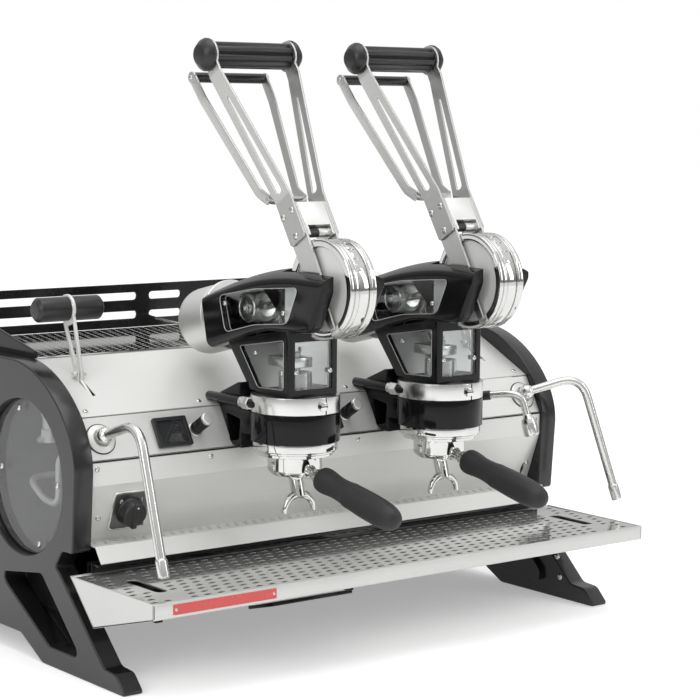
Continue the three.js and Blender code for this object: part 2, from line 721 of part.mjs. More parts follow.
// Knurled selector knob with a smooth cap, drawn facing -Y
function selectorKnob() {
  const e = encoder;
  const rim = Array.from({ length: 2 * e.ribs }, (_, i) => {
    const angle = (i / e.ribs) * Math.PI;
    const radius = i % 2 ? e.radius : e.radius * e.ribShare;
    return [radius * Math.cos(angle), radius * Math.sin(angle)];
  });
  const body = acrossY(shapeOf(rim), -e.length, -e.cap);
  const shaft = new THREE.CylinderGeometry(e.shaft, e.shaft, e.cap * 2, e.ribs).translate(0, -e.cap, 0);
  const cap = new THREE.CylinderGeometry(e.radius, e.radius * e.ribShare, e.cap, e.ribs)
    .translate(0, -e.length - e.cap / 2 + fineCut / 2, 0);
  return join(body, shaft, cap);
}

function switchPlate() {
  const m = mainSwitch;
  const half = m.size / 2;
  const frame = roundedShape([[-half, -half], [half, -half], [half, half], [-half, half]], m.depth, 3);
  const hole = new THREE.Path();
  hole.absarc(0, 0, m.shaft + seat, 0, 2 * Math.PI, true);
  frame.holes.push(hole);
  return acrossY(frame, -m.depth, 0, 8);
}

function switchKnob() {
  const m = mainSwitch;
  const side = skirtShares.map(([out, along]) => [m.knob * out, -m.knobDepth * along]);
  const skirt = alongY(turned([[0, 0], ...side, [0, -m.knobDepth]], 20));
  const end = m.knob * m.gripShare;
  const bar = roundedShape([
    [-m.grip / 2, -m.knob], [m.grip / 2, -m.knob], [m.grip / 2, end], [-m.grip / 2, end],
  ], m.grip / 2, 3);
  const stem = new THREE.CylinderGeometry(m.shaft, m.shaft, m.depth, 12).translate(0, m.depth / 2, 0);
  return join(skirt, acrossY(bar, -m.knobDepth - m.gripDepth / 2, -m.knobDepth / 2), stem);
}

function addControls(machine) {
  groupCentres().forEach((x, i) => {
    const glass = mesh(`display_${i + 1}`, display(), finish.screen);
    const knob = mesh(`selector_knob_${i + 1}`, selectorKnob(), finish.rubber);
    machine.add(faceBand(glass, x - screenGlass.offset, screenGlass.slope));
    machine.add(faceBand(knob, x - encoder.offset, encoder.slope));
  });
  const m = mainSwitch;
  const drop = fold.creaseHeight - fold.stepHeight;
  const angle = Math.atan2(fold.stepRear - fold.lipDepth, drop);
  const back = fold.lipDepth + (fold.creaseHeight - m.height) * Math.tan(angle);
  const dial = new THREE.Group();
  dial.position.set(-m.offset, back - seat * Math.cos(angle), m.height);
  dial.rotation.x = angle;
  const base = mesh('switch_plate', switchPlate(), finish.steel);
  const knob = mesh('switch_knob', switchKnob(), finish.rubber);
  knob.position.y = -m.depth - seat;
  dial.add(base, knob);
  machine.add(dial);
}

// Steam tap: a slotted lever plate through the cover, and its handle
function tapLever() {
  const t = tap;
  const outline = new THREE.Shape();
  outline.moveTo(-t.heel, 0);
  outline.lineTo(-t.tailWidth / 2, -t.heel);
  outline.lineTo(-t.tail / 2, -t.tail * t.tailShare);
  outline.lineTo(-t.tail / 2 + t.tailWidth, -t.tail * t.tailTipShare);
  outline.lineTo(t.heel, -t.heel);
  outline.lineTo(t.heel, 0);
  const shoulder = { out: t.heel * t.waistShare, up: t.reach - t.eye * t.eyeDropShare };
  outline.lineTo(shoulder.out, shoulder.up);
  outline.absarc(0, t.reach, t.eye + t.sheet / 2, -t.eyeTurn, Math.PI + t.eyeTurn, false);
  outline.lineTo(-shoulder.out, shoulder.up);
  const core = new THREE.Path();
  core.absarc(0, t.reach, t.core + seat, 0, 2 * Math.PI, true);
  const slot = roundedShape([
    [-t.slotWidth / 4, t.slotFoot], [t.slotWidth / 4, t.slotFoot],
    [t.slotWidth, t.slotHead], [-t.slotWidth, t.slotHead],
  ], t.slotWidth / 3, 2);
  outline.holes.push(core, new THREE.Path(slot.getPoints()));
  return join(
    acrossX(outline, -t.sheet / 2, t.sheet / 2, 8),
    rod(t.pin, -t.pinHalf, t.pinHalf, 0, 0, 10),
  );
}

function tapGrip() {
  const t = tap;
  const half = t.gripLength / 2;
  const waist = t.sheet / 2 + seat;
  const side = [
    [t.core, waist], [t.gripRadius, waist], [t.gripRadius, half - t.taper],
    [t.gripRadius - t.taper, half], [0, half],
  ];
  const mirror = side.map(([r, h]) => [r, -h]).reverse();
  return alongX(turned([...mirror, ...side], 16));
}

function addTaps(machine) {
  for (const [side, sign] of [['left', -1], ['right', 1]]) {
    const lever = new THREE.Group();
    lever.position.set(sign * tapSlot.offset, tapPivot().depth, tapPivot().height);
    lever.rotation.x = -radians(tap.lean);
    const grasp = mesh(`steam_tap_grip_${side}`, tapGrip(), finish.rubber);
    grasp.position.z = tap.reach;
    lever.add(mesh(`steam_tap_lever_${side}`, tapLever(), finish.steel), grasp);
    machine.add(lever);
  }
}

// Ball socket of a steam wand, drawn facing -Y
function wandSocket() {
  const w = wand;
  return alongY(turnedRing([
    [w.ball + seat, 0], [w.cup, 0], [w.cup, -w.cupDepth / 2], [w.cup * w.cupShare, -w.cupDepth],
    [w.ball + seat, -w.cupDepth],
  ], 24));
}

// Wand: ball, bent tube and nozzle, drawn with the ball's centre at the origin
function steamWand() {
  const w = wand;
  const drop = onBand(0, w.slope).z - w.tipHeight - w.tipLength;
  const start = new THREE.Vector3(0, 0, 0);
  const corner = new THREE.Vector3(0, -w.forward - w.bend / 2, w.rise + w.bend / 6);
  const end = new THREE.Vector3(0, -w.reach, -drop);
  const tube = tubeAlong(bentPath(start, corner, end, w.bend), w.tube, w.sides, 9);
  const ball = new THREE.SphereGeometry(w.ball, 12, 7);
  const lean = Math.atan2(w.reach - w.forward - w.bend / 2, drop + w.rise);
  const nozzle = turned([
    ...wandTipShares.map(([out, along]) => [w.tip * out, -w.tipLength * along]),
    [w.tube + fineCut, 0], [w.tube + fineCut, w.tube], [0, w.tube],
  ], 10).rotateX(-lean).translate(0, -w.reach, -drop);
  return join(tube, ball, nozzle);
}

function addWands(machine) {
  for (const [side, sign] of [['left', -1], ['right', 1]]) {
    const socket = mesh(`wand_socket_${side}`, wandSocket(), finish.chrome);
    faceBand(socket, sign * wand.offset, wand.slope);
    const pipe = mesh(`steam_wand_${side}`, steamWand(), finish.chrome);
    faceBand(pipe, sign * wand.offset, wand.slope, wand.ball + 2 * seat);
    pipe.rotation.set(0, 0, sign > 0 ? radians(wand.swing) : 0);
    machine.add(socket, pipe);
  }
}

// Hot water spout with its threaded base and aerator
function waterSpout() {
  const s = spout;
  const start = new THREE.Vector3(0, 0, 0);
  const corner = new THREE.Vector3(0, -s.forward, s.rise);
  const lean = radians(s.lean);
  const end = corner.clone().add(new THREE.Vector3(0, -Math.sin(lean), -Math.cos(lean)).multiplyScalar(s.drop));
  const tube = tubeAlong(bentPath(start, corner, end, s.bend), s.tube, s.sides, 10);
  const base = new THREE.SphereGeometry(s.base, 12, 8);
  const nut = alongY(turned([
    [0, -s.baseLength], [s.base * s.nutShare, -s.baseLength], [s.base * s.nutShare, -s.base / 2], [0, -s.base / 2],
  ], 6));
  const nozzle = turned([
    ...spoutTipShares.map(([out, along]) => [s.nozzle * out, -s.nozzleLength * along]),
    [s.tube + fineCut, 0], [s.tube + fineCut, s.tube], [0, s.tube],
  ], 12).rotateX(-lean).translate(end.x, end.y, end.z);
  return join(base, nut, tube, nozzle);
}

function addSpout(machine) {
  const piece = mesh('water_spout', waterSpout(), finish.chrome);
  faceBand(piece, spout.offset, spout.slope, spout.base + 2 * seat);
  piece.rotation.set(0, 0, radians(spout.swing));
  machine.add(piece);
}

// Casting that carries the group: a collar, an open bracket and the arm above it
function groupBody() {
  const a = arm;
  const bandSeat = groupDepth + seat / Math.cos(bandAngle());
  const coverSeat = fold.seamHeight + seat / Math.cos(coverAngle());
  const bandFace = (z) => fold.lipDepth + (z - fold.lipHeight) * Math.tan(bandAngle()) - bandSeat;
  const coverRise = Math.tan(coverAngle());
  const coverFace = (y) => coverSeat + (y + groupDepth - fold.seamDepth) * coverRise;
  const side = shapeOf([
    [a.inside, a.insideLow], [a.chin, a.insideLow], [a.chin, a.chinHeight],
    [bandFace(a.heelHeight), a.heelHeight],
    [bandFace(a.rootHeight), a.rootHeight], [a.tipDepth, coverFace(a.tipDepth)],
    [a.highDepth, a.high], [a.frontDepth, a.high], [a.frontDepth, a.lowHigh], [a.inside, a.insideHigh],
  ]);
  const { bore: hole, bottom, radius, top } = collar;
  const drum = turnedRing([[hole, bottom], [radius, bottom], [radius, top], [hole, top]], roundSteps);
  const bore = new THREE.CylinderGeometry(collar.bore, collar.bore, 2 * (collar.top - collar.bottom), roundSteps)
    .rotateX(Math.PI / 2).translate(0, 0, collar.top);
  return cut(
    join(drum, acrossX(side, -a.half, a.half)),
    acrossX(roundedShape(armWindow, a.windowRound, 2), -a.half - overrun, a.half + overrun),
    bore,
  );
}

// Clamp ring with the brew cylinder's liner, the clamp screw's boss and the inlet pipe
function clampRing() {
  const foot = collar.top + seat;
  const body = turned([
    [0, foot], [collar.radius, foot], [collar.radius, ring.top], [liner.radius, ring.top],
    [liner.radius, liner.top], [liner.bore, liner.top], [liner.bore, liner.floor], [0, liner.floor],
  ], roundSteps);
  const nut = box(
    -ring.nutHalf, ring.nutHalf,
    -collar.radius - ring.nutReach, -collar.radius + ring.nutReach,
    ring.nutLow, ring.nutHigh,
  );
  const pipeRise = ring.pipeHeight - ring.pipe - fold.seamHeight;
  const coverDepth = fold.seamDepth - groupDepth + pipeRise / Math.tan(coverAngle());
  const pipe = new THREE.CylinderGeometry(ring.pipe, ring.pipe, coverDepth - seat - ring.pipeStart, 8)
    .translate(-ring.pipeOffset, (coverDepth - seat + ring.pipeStart) / 2, ring.pipeHeight);
  const unionNut = new THREE.CylinderGeometry(ring.union, ring.union, ring.unionLength, 6)
    .translate(-ring.pipeOffset, ring.unionDepth, ring.pipeHeight);
  return join(body, nut, pipe, unionNut);
}

// Bayonet ring: a groove behind a lip with two gaps that let the ears in
function bayonetRing() {
  const b = bayonet;
  const ceiling = filter.top + seat;
  const body = turned([
    [0, ceiling], [b.groove, ceiling], [b.groove, b.grooveLow], [b.bore, b.grooveLow],
    [b.bore, b.bottom], [b.lipRadius, b.bottom], [b.lipRadius, b.step], [b.radius, b.step],
    [b.radius, collar.bottom - seat], [0, collar.bottom - seat],
  ], roundSteps);
  const gapHalf = filter.earHalf + b.gapEase;
  const gapTool = box(
    -b.groove, b.groove, -gapHalf, gapHalf, b.bottom - overrun, b.grooveLow + fineCut,
  ).rotateZ(-radians(b.unlock));
  return cut(body, gapTool);
}

// One section of the moulded housing, wider than tall at the front
function houseSection([, low, side, crown]) {
  const { half } = house;
  const corner = Math.min(house.corner, (side - low) / 3);
  const right = [
    [half - corner, low], [half, low + corner], [half, side - corner],
    ...crownShares.map(([out, up]) => [half * out, side + crown * up]),
  ];
  const left = right.map(([x, z]) => [-x, z]).reverse();
  return [...right, [0, side + crown], ...left];
}

// A closed skin through a row of sections across the depth
function loft(stations) {
  const rings = stations.map(houseSection);
  const count = rings[0].length;
  const positions = [];
  rings.forEach((points, i) => points.forEach(([x, z]) => positions.push(x, stations[i][0], z)));
  const faces = [];
  for (let i = 0; i + 1 < rings.length; i += 1) {
    for (let j = 0; j < count; j += 1) {
      const a = i * count + j;
      const b = i * count + ((j + 1) % count);
      faces.push(a, b, a + count, b, b + count, a + count);
    }
  }
  const last = (rings.length - 1) * count;
  for (let j = 1; j + 1 < count; j += 1) {
    faces.push(0, j + 1, j, last, last + j, last + j + 1);
  }
  const geometry = new THREE.BufferGeometry();
  geometry.setAttribute('position', new THREE.Float32BufferAttribute(positions, 3));
  geometry.setIndex(faces.reverse());
  return geometry;
}

// Puts a piece drawn along +Y onto the tilted line of the spring, at a distance along it
function onSpringLine(geometry, distance) {
  const tilt = radians(can.tilt);
  return geometry.translate(0, distance, 0).rotateX(-tilt).translate(0, can.axisDepth, can.axisHeight);
}

// Moulded housing: crowned upper shell, lower lantern, windows, wheel bay and seats
function groupHousing() {
  const h = house;
  const foot = ring.top + seat;
  const rearHeight = foot + h.lowRearRise;
  const lantern = shapeOf([
    [h.lowFront, foot], [h.lowFront, h.lowTop], [h.lowRearTop, rearHeight], [h.lowRearFoot, foot],
  ]);
  const chamber = shapeOf([
    [h.lowFront + h.lowWall, foot - overrun], [h.lowFront + h.lowWall, h.lowCeiling],
    [h.lowRearTop - 2 * h.lowWall, rearHeight - h.lowWall], [h.lowRearFoot - h.lowWall, foot],
    [h.lowRearFoot - h.lowWall, foot - overrun],
  ]);
  const cavity = shapeOf([
    [h.bayRear - overrun, h.cavityFrontLow], [h.bayRear - overrun, h.cavityFrontTop],
    [h.cavityRear, h.cavityRearTop], [h.cavityRear, h.cavityRearLow],
  ]);
  const slot = h.bayHalf;
  const front = houseStations[0][0] - overrun;
  const roof = Math.max(...houseStations.map(([, , side]) => side)) + 2 * overrun;
  return cut(
    join(loft(houseStations), acrossX(lantern, -h.lowHalf, h.lowHalf)),
    acrossX(cavity, -h.half + h.wall, h.half - h.wall),
    acrossX(chamber, -h.lowHalf + h.lowWall, h.lowHalf - h.lowWall),
    box(-slot, slot, front, h.lowFront - 2 * seat, h.lowCeiling - 2 * overrun, roof),
    box(-slot, slot, h.lowFront - overrun, h.bayRear, h.baySill, roof),
    acrossX(roundedShape(sideWindow, h.windowRound, 2), -h.half - overrun, h.half + overrun),
    acrossX(roundedShape(lowWindow, h.windowRound / 2, 2), -h.half - overrun, h.half + overrun),
    box(
      -h.frontGlassHalf, h.frontGlassHalf, h.lowFront - overrun, h.lowFront + 2 * h.lowWall,
      h.frontGlassLow, h.frontGlassHigh,
    ),
    onSpringLine(rodAlongY(springRod.radius + seat, 0, can.start + overrun, 16), 0),
    onSpringLine(
      box(-2 * h.half, 2 * h.half, 0, 5 * overrun, -5 * overrun, 5 * overrun), can.start - seat,
    ),
    rod(hub.pin + seat, -h.half + h.wall - seat, h.half - h.wall + seat, hub.y, hub.height),
  );
}

// A round bar lying along Y between two distances
function rodAlongY(radius, y0, y1, steps) {
  return new THREE.CylinderGeometry(radius, radius, y1 - y0, steps).translate(0, (y0 + y1) / 2, 0);
}

// Spring can with its flange, bored at the front for the spring rod
function springCan() {
  const c = can;
  const bore = springRod.radius + seat;
  const inner = c.radius - c.wall;
  const shoulder = c.length - c.dome;
  return onSpringLine(alongY(turned([
    [bore, 0], [c.flange, 0], [c.flange, c.flangeLength], [c.radius, c.flangeLength], [c.radius, shoulder],
    [c.radius * c.crownShare, c.length - c.crownDrop], [0, c.length], [0, c.length - c.wall],
    [inner * c.crownShare, c.length - c.crownDrop - c.wall], [inner, shoulder], [inner, c.wall],
    [bore, c.wall], [bore, 0],
  ], c.steps)), c.start);
}

// Spring rod: crosshead and nose in the upper housing, follower inside the can
function springRodPiece() {
  const s = springRod;
  const headEnd = s.headStart + s.headLength;
  const followerEnd = s.followerStart + s.followerLength;
  const cheek = rod(s.head * s.cheekShare, -s.head, s.head, s.headStart + s.headLength / 2, 0, 14);
  const profile = [
    [0, s.noseStart], [s.nose, s.noseStart], [s.nose, s.headStart], [s.head, s.headStart],
    [s.head, headEnd], [s.radius, headEnd], [s.radius, s.followerStart], [s.follower, s.followerStart],
    [s.follower, followerEnd], [s.radius, followerEnd], [s.radius, s.tail], [0, s.tail],
  ];
  return onSpringLine(join(alongY(turned(profile, 14)), cheek), 0);
}

function coilPoints() {
  const c = coil;
  const count = c.turns * c.stepsPerTurn;
  const start = springRod.followerStart + springRod.followerLength + seat + c.wire * c.wireShare;
  return Array.from({ length: count + 1 }, (_, i) => {
    const angle = (i / c.stepsPerTurn) * 2 * Math.PI;
    const along = start + (i / count) * (c.length - 2 * c.wire);
    return new THREE.Vector3(c.radius * Math.cos(angle), along, c.radius * Math.sin(angle));
  });
}

// Least gap between turns of the coil that aren't neighbours along the wire
function coilGap(points) {
  let least = Infinity;
  points.forEach((a, i) => points.forEach((b, j) => {
    if (j - i > coil.stepsPerTurn / 2) least = Math.min(least, a.distanceTo(b));
  }));
  return least - 2 * coil.wire;
}

function springCoil() {
  const points = coilPoints();
  console.log(`least gap of the spring to itself ${coilGap(points).toFixed(2)} mm`);
  return onSpringLine(tubeAlong(points, coil.wire, coil.sides, coil.turns * coil.stepsPerTurn), 0);
}

// Brew piston with its rod and the yoke that the mechanism lifts
function brewPistonPiece() {
  const b = brewPiston;
  const rodBody = turned([
    [0, b.headLow], [b.head, b.headLow], [b.head, b.headHigh], [b.rod, b.headHigh],
    [b.rod, b.rodTop], [0, b.rodTop],
  ], 14);
  const yoke = box(-b.yokeHalf, b.yokeHalf, b.yokeFront, b.yokeRear, b.yokeLow, b.yokeHigh);
  return join(rodBody, yoke);
}

// Lever fork: two cheeks on the hub, the block between them and its cross roller
function leverFork() {
  const f = fork;
  const outline = new THREE.Shape();
  outline.moveTo(f.half, f.cheekWide);
  outline.lineTo(f.half, f.blockHigh);
  outline.lineTo(-f.half, f.blockHigh);
  outline.lineTo(-f.half, f.cheekWide);
  outline.absarc(0, 0, f.eye, Math.PI, 2 * Math.PI, false);
  const eye = new THREE.Path();
  eye.absarc(0, 0, hub.pin + seat, 0, 2 * Math.PI, true);
  outline.holes.push(eye);
  const wide = f.inner + fineCut;
  const deep = f.half + overrun;
  const block = cut(
    box(-wide, wide, -f.half, f.half, f.blockLow, f.blockHigh),
    box(-f.notchHalf, f.notchHalf, -deep, deep, f.blockLow - overrun, f.notchHigh),
  );
  return join(
    acrossX(outline, -f.inner - f.sheet, -f.inner, 10),
    acrossX(outline, f.inner, f.inner + f.sheet, 10),
    block,
    rod(f.roller, -f.inner, f.inner, f.rollerBack, f.rollerUp),
  );
}

// Wheel on the lever's hub: axle, web and a belted rim with slots
function leverWheel() {
  const w = wheel;
  const boss = fork.inner - seat;
  const side = [
    [0, -hub.pinHalf], [hub.pin, -hub.pinHalf], [hub.pin, -boss], [w.hubRadius, -boss], [w.hubRadius, -w.web],
    [w.rim, -w.web], [w.rim, -w.half], [w.radius, -w.half],
  ];
  const mirror = side.map(([r, x]) => [r, -x]).reverse();
  const body = alongX(turned([...side, ...mirror], w.steps));
  const slots = Array.from({ length: w.slots }, (_, i) => box(
    -w.slotHalf, w.slotHalf, -w.slotLength / 2, w.slotLength / 2,
    w.radius - w.slotDepth, w.radius + overrun,
  ).rotateX((i + 1 / 2) * 2 * Math.PI / w.slots));
  return cut(body, ...slots);
}

// Lever arm: a slotted plate, upright at the fork, splayed above and ending in the grip's eye
function leverArm(sign) {
  const v = lever;
  const root = fork.inner + fork.sheet + seat;
  const middle = root + v.sheet / 2;
  const run = v.bendHigh - v.bendLow;
  const length = Math.hypot(v.splay - middle, run);
  const angle = Math.atan2(v.splay - middle, run);
  const lower = shapeOf([
    [v.half, v.low], [v.half, v.bendLow + fineCut], [-v.half, v.bendLow + fineCut], [-v.half, v.low],
  ]);
  const blade = shapeOf([
    [v.half, -fineCut], [v.neckHalf, length + fineCut], [-v.neckHalf, length + fineCut], [-v.half, -fineCut],
  ]);
  const slot = roundedShape([
    [-v.slotHalf, v.slotLow], [v.slotHalf, v.slotLow], [v.slotTip, v.slotHigh], [-v.slotTip, v.slotHigh],
  ], v.slotHalf, 2);
  blade.holes.push(new THREE.Path(slot.getPoints()));
  const head = new THREE.Shape();
  head.moveTo(v.neckHalf, v.bendHigh - fineCut);
  head.absarc(0, v.high, v.eye, -v.eyeTurn, Math.PI + v.eyeTurn, false);
  head.lineTo(-v.neckHalf, v.bendHigh - fineCut);
  const eye = new THREE.Path();
  eye.absarc(0, v.high, grip.core + seat, 0, 2 * Math.PI, true);
  head.holes.push(eye);
  const bladeBody = acrossX(blade, -v.sheet / 2, v.sheet / 2)
    .rotateY(sign * angle).translate(sign * middle, 0, v.bendLow);
  const place = (shape, out, segments) => acrossX(
    shape, sign * out - v.sheet / 2, sign * out + v.sheet / 2, segments,
  );
  return join(place(lower, middle), bladeBody, place(head, v.splay, 12));
}

// Fluted grip between the arms, with its core through their eyes and a cap at each end
function leverGrip() {
  const g = grip;
  const inner = lever.splay - lever.sheet / 2 - seat;
  const outer = lever.splay + lever.sheet / 2 + seat;
  const count = g.flutes * g.fluteSteps;
  const lobes = Array.from({ length: count }, (_, i) => {
    const angle = (i / count) * 2 * Math.PI;
    const radius = g.radius - g.fluteDepth * Math.pow(Math.sin(angle * g.flutes / 2), g.sharpness);
    return [radius * Math.cos(angle), radius * Math.sin(angle)];
  });
  const body = acrossX(shapeOf(lobes), -inner, inner);
  const side = [
    [0, outer + g.capLength], [g.capFace, outer + g.capLength], [g.cap, outer + g.capLength / 4],
    [g.cap, outer], [g.core, outer], [g.core, 0],
  ];
  const mirror = side.slice(0, -1).map(([r, x]) => [r, -x]).reverse();
  return join(body, alongX(turned([...side.slice(0, -1), ...mirror], 16)));
}

// Release bar behind the grip: a hinged foot, two cranked strips and the bar
function releaseBar() {
  const r = release;
  const pieces = [
    rod(r.pin, -r.foot, r.foot, r.back, r.up, 8),
    rod(r.bar, -r.topOut - r.sheet, r.topOut + r.sheet, r.topBack, r.topUp, 10),
  ];
  const across = new THREE.Vector3(0, 1, 0);
  for (const sign of [-1, 1]) {
    const route = [
      new THREE.Vector3(sign * r.rootOut, r.back, r.up),
      new THREE.Vector3(sign * r.rootOut, r.heelBack, r.heelUp),
      new THREE.Vector3(sign * r.kinkOut, r.kinkBack, r.kinkUp),
      new THREE.Vector3(sign * r.topOut, r.topBack, r.topUp),
    ];
    route.slice(1).forEach((to, i) => pieces.push(strip(route[i], to, r.width, r.sheet, across)));
  }
  return join(...pieces);
}

// Portafilter body: cup, ears, stem with twin spouts and the neck of the handle
function portafilterBody() {
  const f = filter;
  const cup = turned([
    [0, f.low], [f.lowRadius, f.low], [f.body, f.bowlLow], [f.body, f.shoulder], [f.rim, f.shoulder],
    [f.rim, f.top], [f.bore, f.top], [f.bore, f.floor], [0, f.floor],
  ], 20);
  const ears = [[-f.ear, -f.earRoot], [f.earRoot, f.ear]].map(([from, to]) => box(
    from, to, -f.earHalf, f.earHalf, f.earLow, f.earHigh,
  ));
  const spoutStem = tubeAlong([
    new THREE.Vector3(0, 0, stem.top),
    new THREE.Vector3(0, -twinSpout.ahead / 2, (stem.top + stem.low) / 2),
    new THREE.Vector3(0, -twinSpout.ahead, stem.low),
  ], stem.radius, 10, 2);
  const arc = Array.from({ length: twinSpout.steps + 1 }, (_, i) => {
    const angle = Math.PI * (i / twinSpout.steps);
    const { radius, ahead, low } = twinSpout;
    return new THREE.Vector3(radius * Math.cos(angle), -ahead, low + radius * Math.sin(angle));
  });
  const spouts = tubeAlong(arc, twinSpout.tube, 8, twinSpout.steps);
  const collarFoot = neck.end - neck.collar;
  const neckBar = turned([
    [0, neck.start], [neck.radius, neck.start], [neck.radius, collarFoot],
    [neck.collar, collarFoot + neck.collar / 2], [neck.collar, neck.end], [0, neck.end],
  ], 10);
  return join(cup, ...ears, spoutStem, spouts, alongHandle(neckBar));
}

// Lays a piece turned upright along the handle's falling line
function alongHandle(geometry) {
  return geometry.rotateX(Math.PI / 2 + radians(neck.slope)).translate(0, 0, neck.height);
}

function portafilterHandle() {
  const start = neck.end + seat;
  const length = handle.end - start;
  const profile = handleShares.map(([along, across]) => [handle.radius * across, start + length * along]);
  return alongHandle(turned([[0, start], ...profile, [0, start + length]], 18));
}

function addLever(group, i) {
  const swing = new THREE.Group();
  swing.position.set(0, hub.y, hub.height);
  swing.rotation.x = -radians(hub.lean);
  swing.add(
    mesh(`lever_${i}_fork`, leverFork(), finish.aluminium),
    mesh(`lever_${i}_wheel`, leverWheel(), finish.chrome),
    mesh(`lever_${i}_arm_left`, leverArm(-1), finish.steel),
    mesh(`lever_${i}_arm_right`, leverArm(1), finish.steel),
    mesh(`lever_${i}_release`, releaseBar(), finish.steel),
  );
  const grasp = mesh(`lever_${i}_grip`, leverGrip(), finish.rubber);
  grasp.position.z = lever.high;
  swing.add(grasp);
  group.add(swing);
}

function addGroups(machine) {
  groupCentres().forEach((x, index) => {
    const i = index + 1;
    const group = new THREE.Group();
    group.position.set(x, groupDepth, 0);
    group.add(
      mesh(`group_${i}_body`, groupBody(), finish.blackPaint),
      mesh(`group_${i}_clamp_ring`, clampRing(), finish.chrome),
      mesh(`group_${i}_bayonet_ring`, bayonetRing(), finish.chrome),
      mesh(`group_${i}_housing`, groupHousing(), finish.blackPaint),
      mesh(`group_${i}_spring_can`, springCan(), finish.aluminium),
      mesh(`group_${i}_spring_rod`, springRodPiece(), finish.steel),
      mesh(`group_${i}_spring`, springCoil(), finish.steel),
      mesh(`group_${i}_brew_piston`, brewPistonPiece(), finish.steel),
      mesh(`portafilter_${i}_body`, portafilterBody(), finish.chrome),
      mesh(`portafilter_${i}_handle`, portafilterHandle(), finish.rubber),
    );
    addLever(group, i);
    machine.add(group);
  });
}

function addCovers(machine) {
  machine.add(
    mesh('upper_cover', upperCover(), finish.steel),
    mesh('control_band', controlBand(), finish.steel),
    mesh('splash_panel', splashPanel(), finish.steel),
    mesh('chassis', chassisTray(), finish.blackPaint),
    mesh('cup_tray', cupTop(), finish.steel),
    mesh('cup_rail', cupRail(), finish.blackPaint),
    mesh('drip_tray', dripTray(), finish.steel),
    mesh('tray_grille', trayGrille(), finish.steel),
  );
  const drum = mesh('steam_boiler', steamBoiler(), finish.steel);
  drum.position.set(0, boiler.depth, boiler.height);
  machine.add(drum);
}

const machine = new THREE.Group();
addSidePlates(machine);
addCovers(machine);
addControls(machine);
addTaps(machine);
addWands(machine);
addSpout(machine);
addGroups(machine);
machine.position.set(-originShift.x, -originShift.y, 0);

export default machine;
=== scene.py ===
"""Two-group lever espresso machine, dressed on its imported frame."""

import json
import math
from functools import partial

import bmesh
import bpy
from mathutils import Matrix, Vector


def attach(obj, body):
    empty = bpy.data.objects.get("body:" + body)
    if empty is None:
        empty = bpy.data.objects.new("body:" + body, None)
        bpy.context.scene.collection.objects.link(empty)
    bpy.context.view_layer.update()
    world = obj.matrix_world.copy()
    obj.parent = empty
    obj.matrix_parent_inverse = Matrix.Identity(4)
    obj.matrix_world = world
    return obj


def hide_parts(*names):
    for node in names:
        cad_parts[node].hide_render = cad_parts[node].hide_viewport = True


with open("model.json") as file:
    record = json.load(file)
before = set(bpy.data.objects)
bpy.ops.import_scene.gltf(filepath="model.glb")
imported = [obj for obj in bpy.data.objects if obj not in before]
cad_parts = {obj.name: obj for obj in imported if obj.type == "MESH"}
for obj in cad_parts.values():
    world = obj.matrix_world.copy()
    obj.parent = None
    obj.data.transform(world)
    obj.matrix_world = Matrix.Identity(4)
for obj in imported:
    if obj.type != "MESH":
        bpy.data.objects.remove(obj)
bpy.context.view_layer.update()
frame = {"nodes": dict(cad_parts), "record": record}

MM = 0.001
# The CAD's own places count from the middle of the drip tray's front edge, in millimetres.
SHIFT = Vector((30, 245, 0))
GROUP_X = {1: -120, 2: 120}
GROUP_Y = 106
SIDES = ((-1, "left"), (1, "right"))
PHOTO = {"size": 700, "focal_px": 2108.7, "azimuth": -38.15, "elevation": 6.67, "roll": 0.58}
CAMERA_AT = (-1692, -2006, 700)
SENSOR = 36.0

# Outlines drawn in depth and height go across the machine; those in width and height face front.
ACROSS_X = Matrix(((0, 0, 1, 0), (1, 0, 0, 0), (0, 1, 0, 0), (0, 0, 0, 1)))
FACING_FRONT = Matrix(((1, 0, 0, 0), (0, 0, -1, 0), (0, 1, 0, 0), (0, 0, 0, 1)))
ALONG_Y = Matrix(((1, 0, 0, 0), (0, 0, 1, 0), (0, -1, 0, 0), (0, 0, 0, 1)))


def at(x, y, z):
    """A place in the machine's millimetres, as a point of the frame in metres."""
    return (Vector((x, y, z)) - SHIFT) * MM


def turned(turn):
    """A rotation by degrees about X, then Y, then Z."""
    spin = Matrix.Identity(4)
    for axis, angle in zip("XYZ", turn):
        spin = Matrix.Rotation(math.radians(angle), 4, axis) @ spin
    return spin


def placed(x=0, y=0, z=0, turn=(0, 0, 0)):
    """Takes a piece drawn in millimetres to its place, turned by degrees about X, Y and Z."""
    return Matrix.Translation(at(x, y, z)) @ Matrix.Diagonal((MM, MM, MM, 1)) @ turned(turn)


def moved(x=0, y=0, z=0, turn=(0, 0, 0)):
    """A move inside a piece's own millimetres."""
    return Matrix.Translation((x, y, z)) @ turned(turn)


def outward(side):
    """Turns what stands on Z to stand on X, away from the middle on the given side."""
    return moved(turn=(0, 90 * side, 0))


def at_group(i, x=0, y=0, z=0, turn=(0, 0, 0)):
    return placed(GROUP_X[i] + x, GROUP_Y + y, z, turn)


# Lines


def rounded(points, radius, steps=4, closed=True):
    """A line of points whose corners are rounded."""
    corners = [Vector(p) for p in points]
    path = []
    for k, corner in enumerate(corners):
        if not closed and k in (0, len(corners) - 1):
            path.append(corner)
            continue
        before = corners[k - 1] - corner
        after = corners[(k + 1) % len(corners)] - corner
        start = corner + before.normalized() * min(radius, before.length * 0.45)
        end = corner + after.normalized() * min(radius, after.length * 0.45)
        for s in range(steps + 1):
            t = s / steps
            path.append(start * (1 - t) ** 2 + corner * (2 * t * (1 - t)) + end * t**2)
    return path


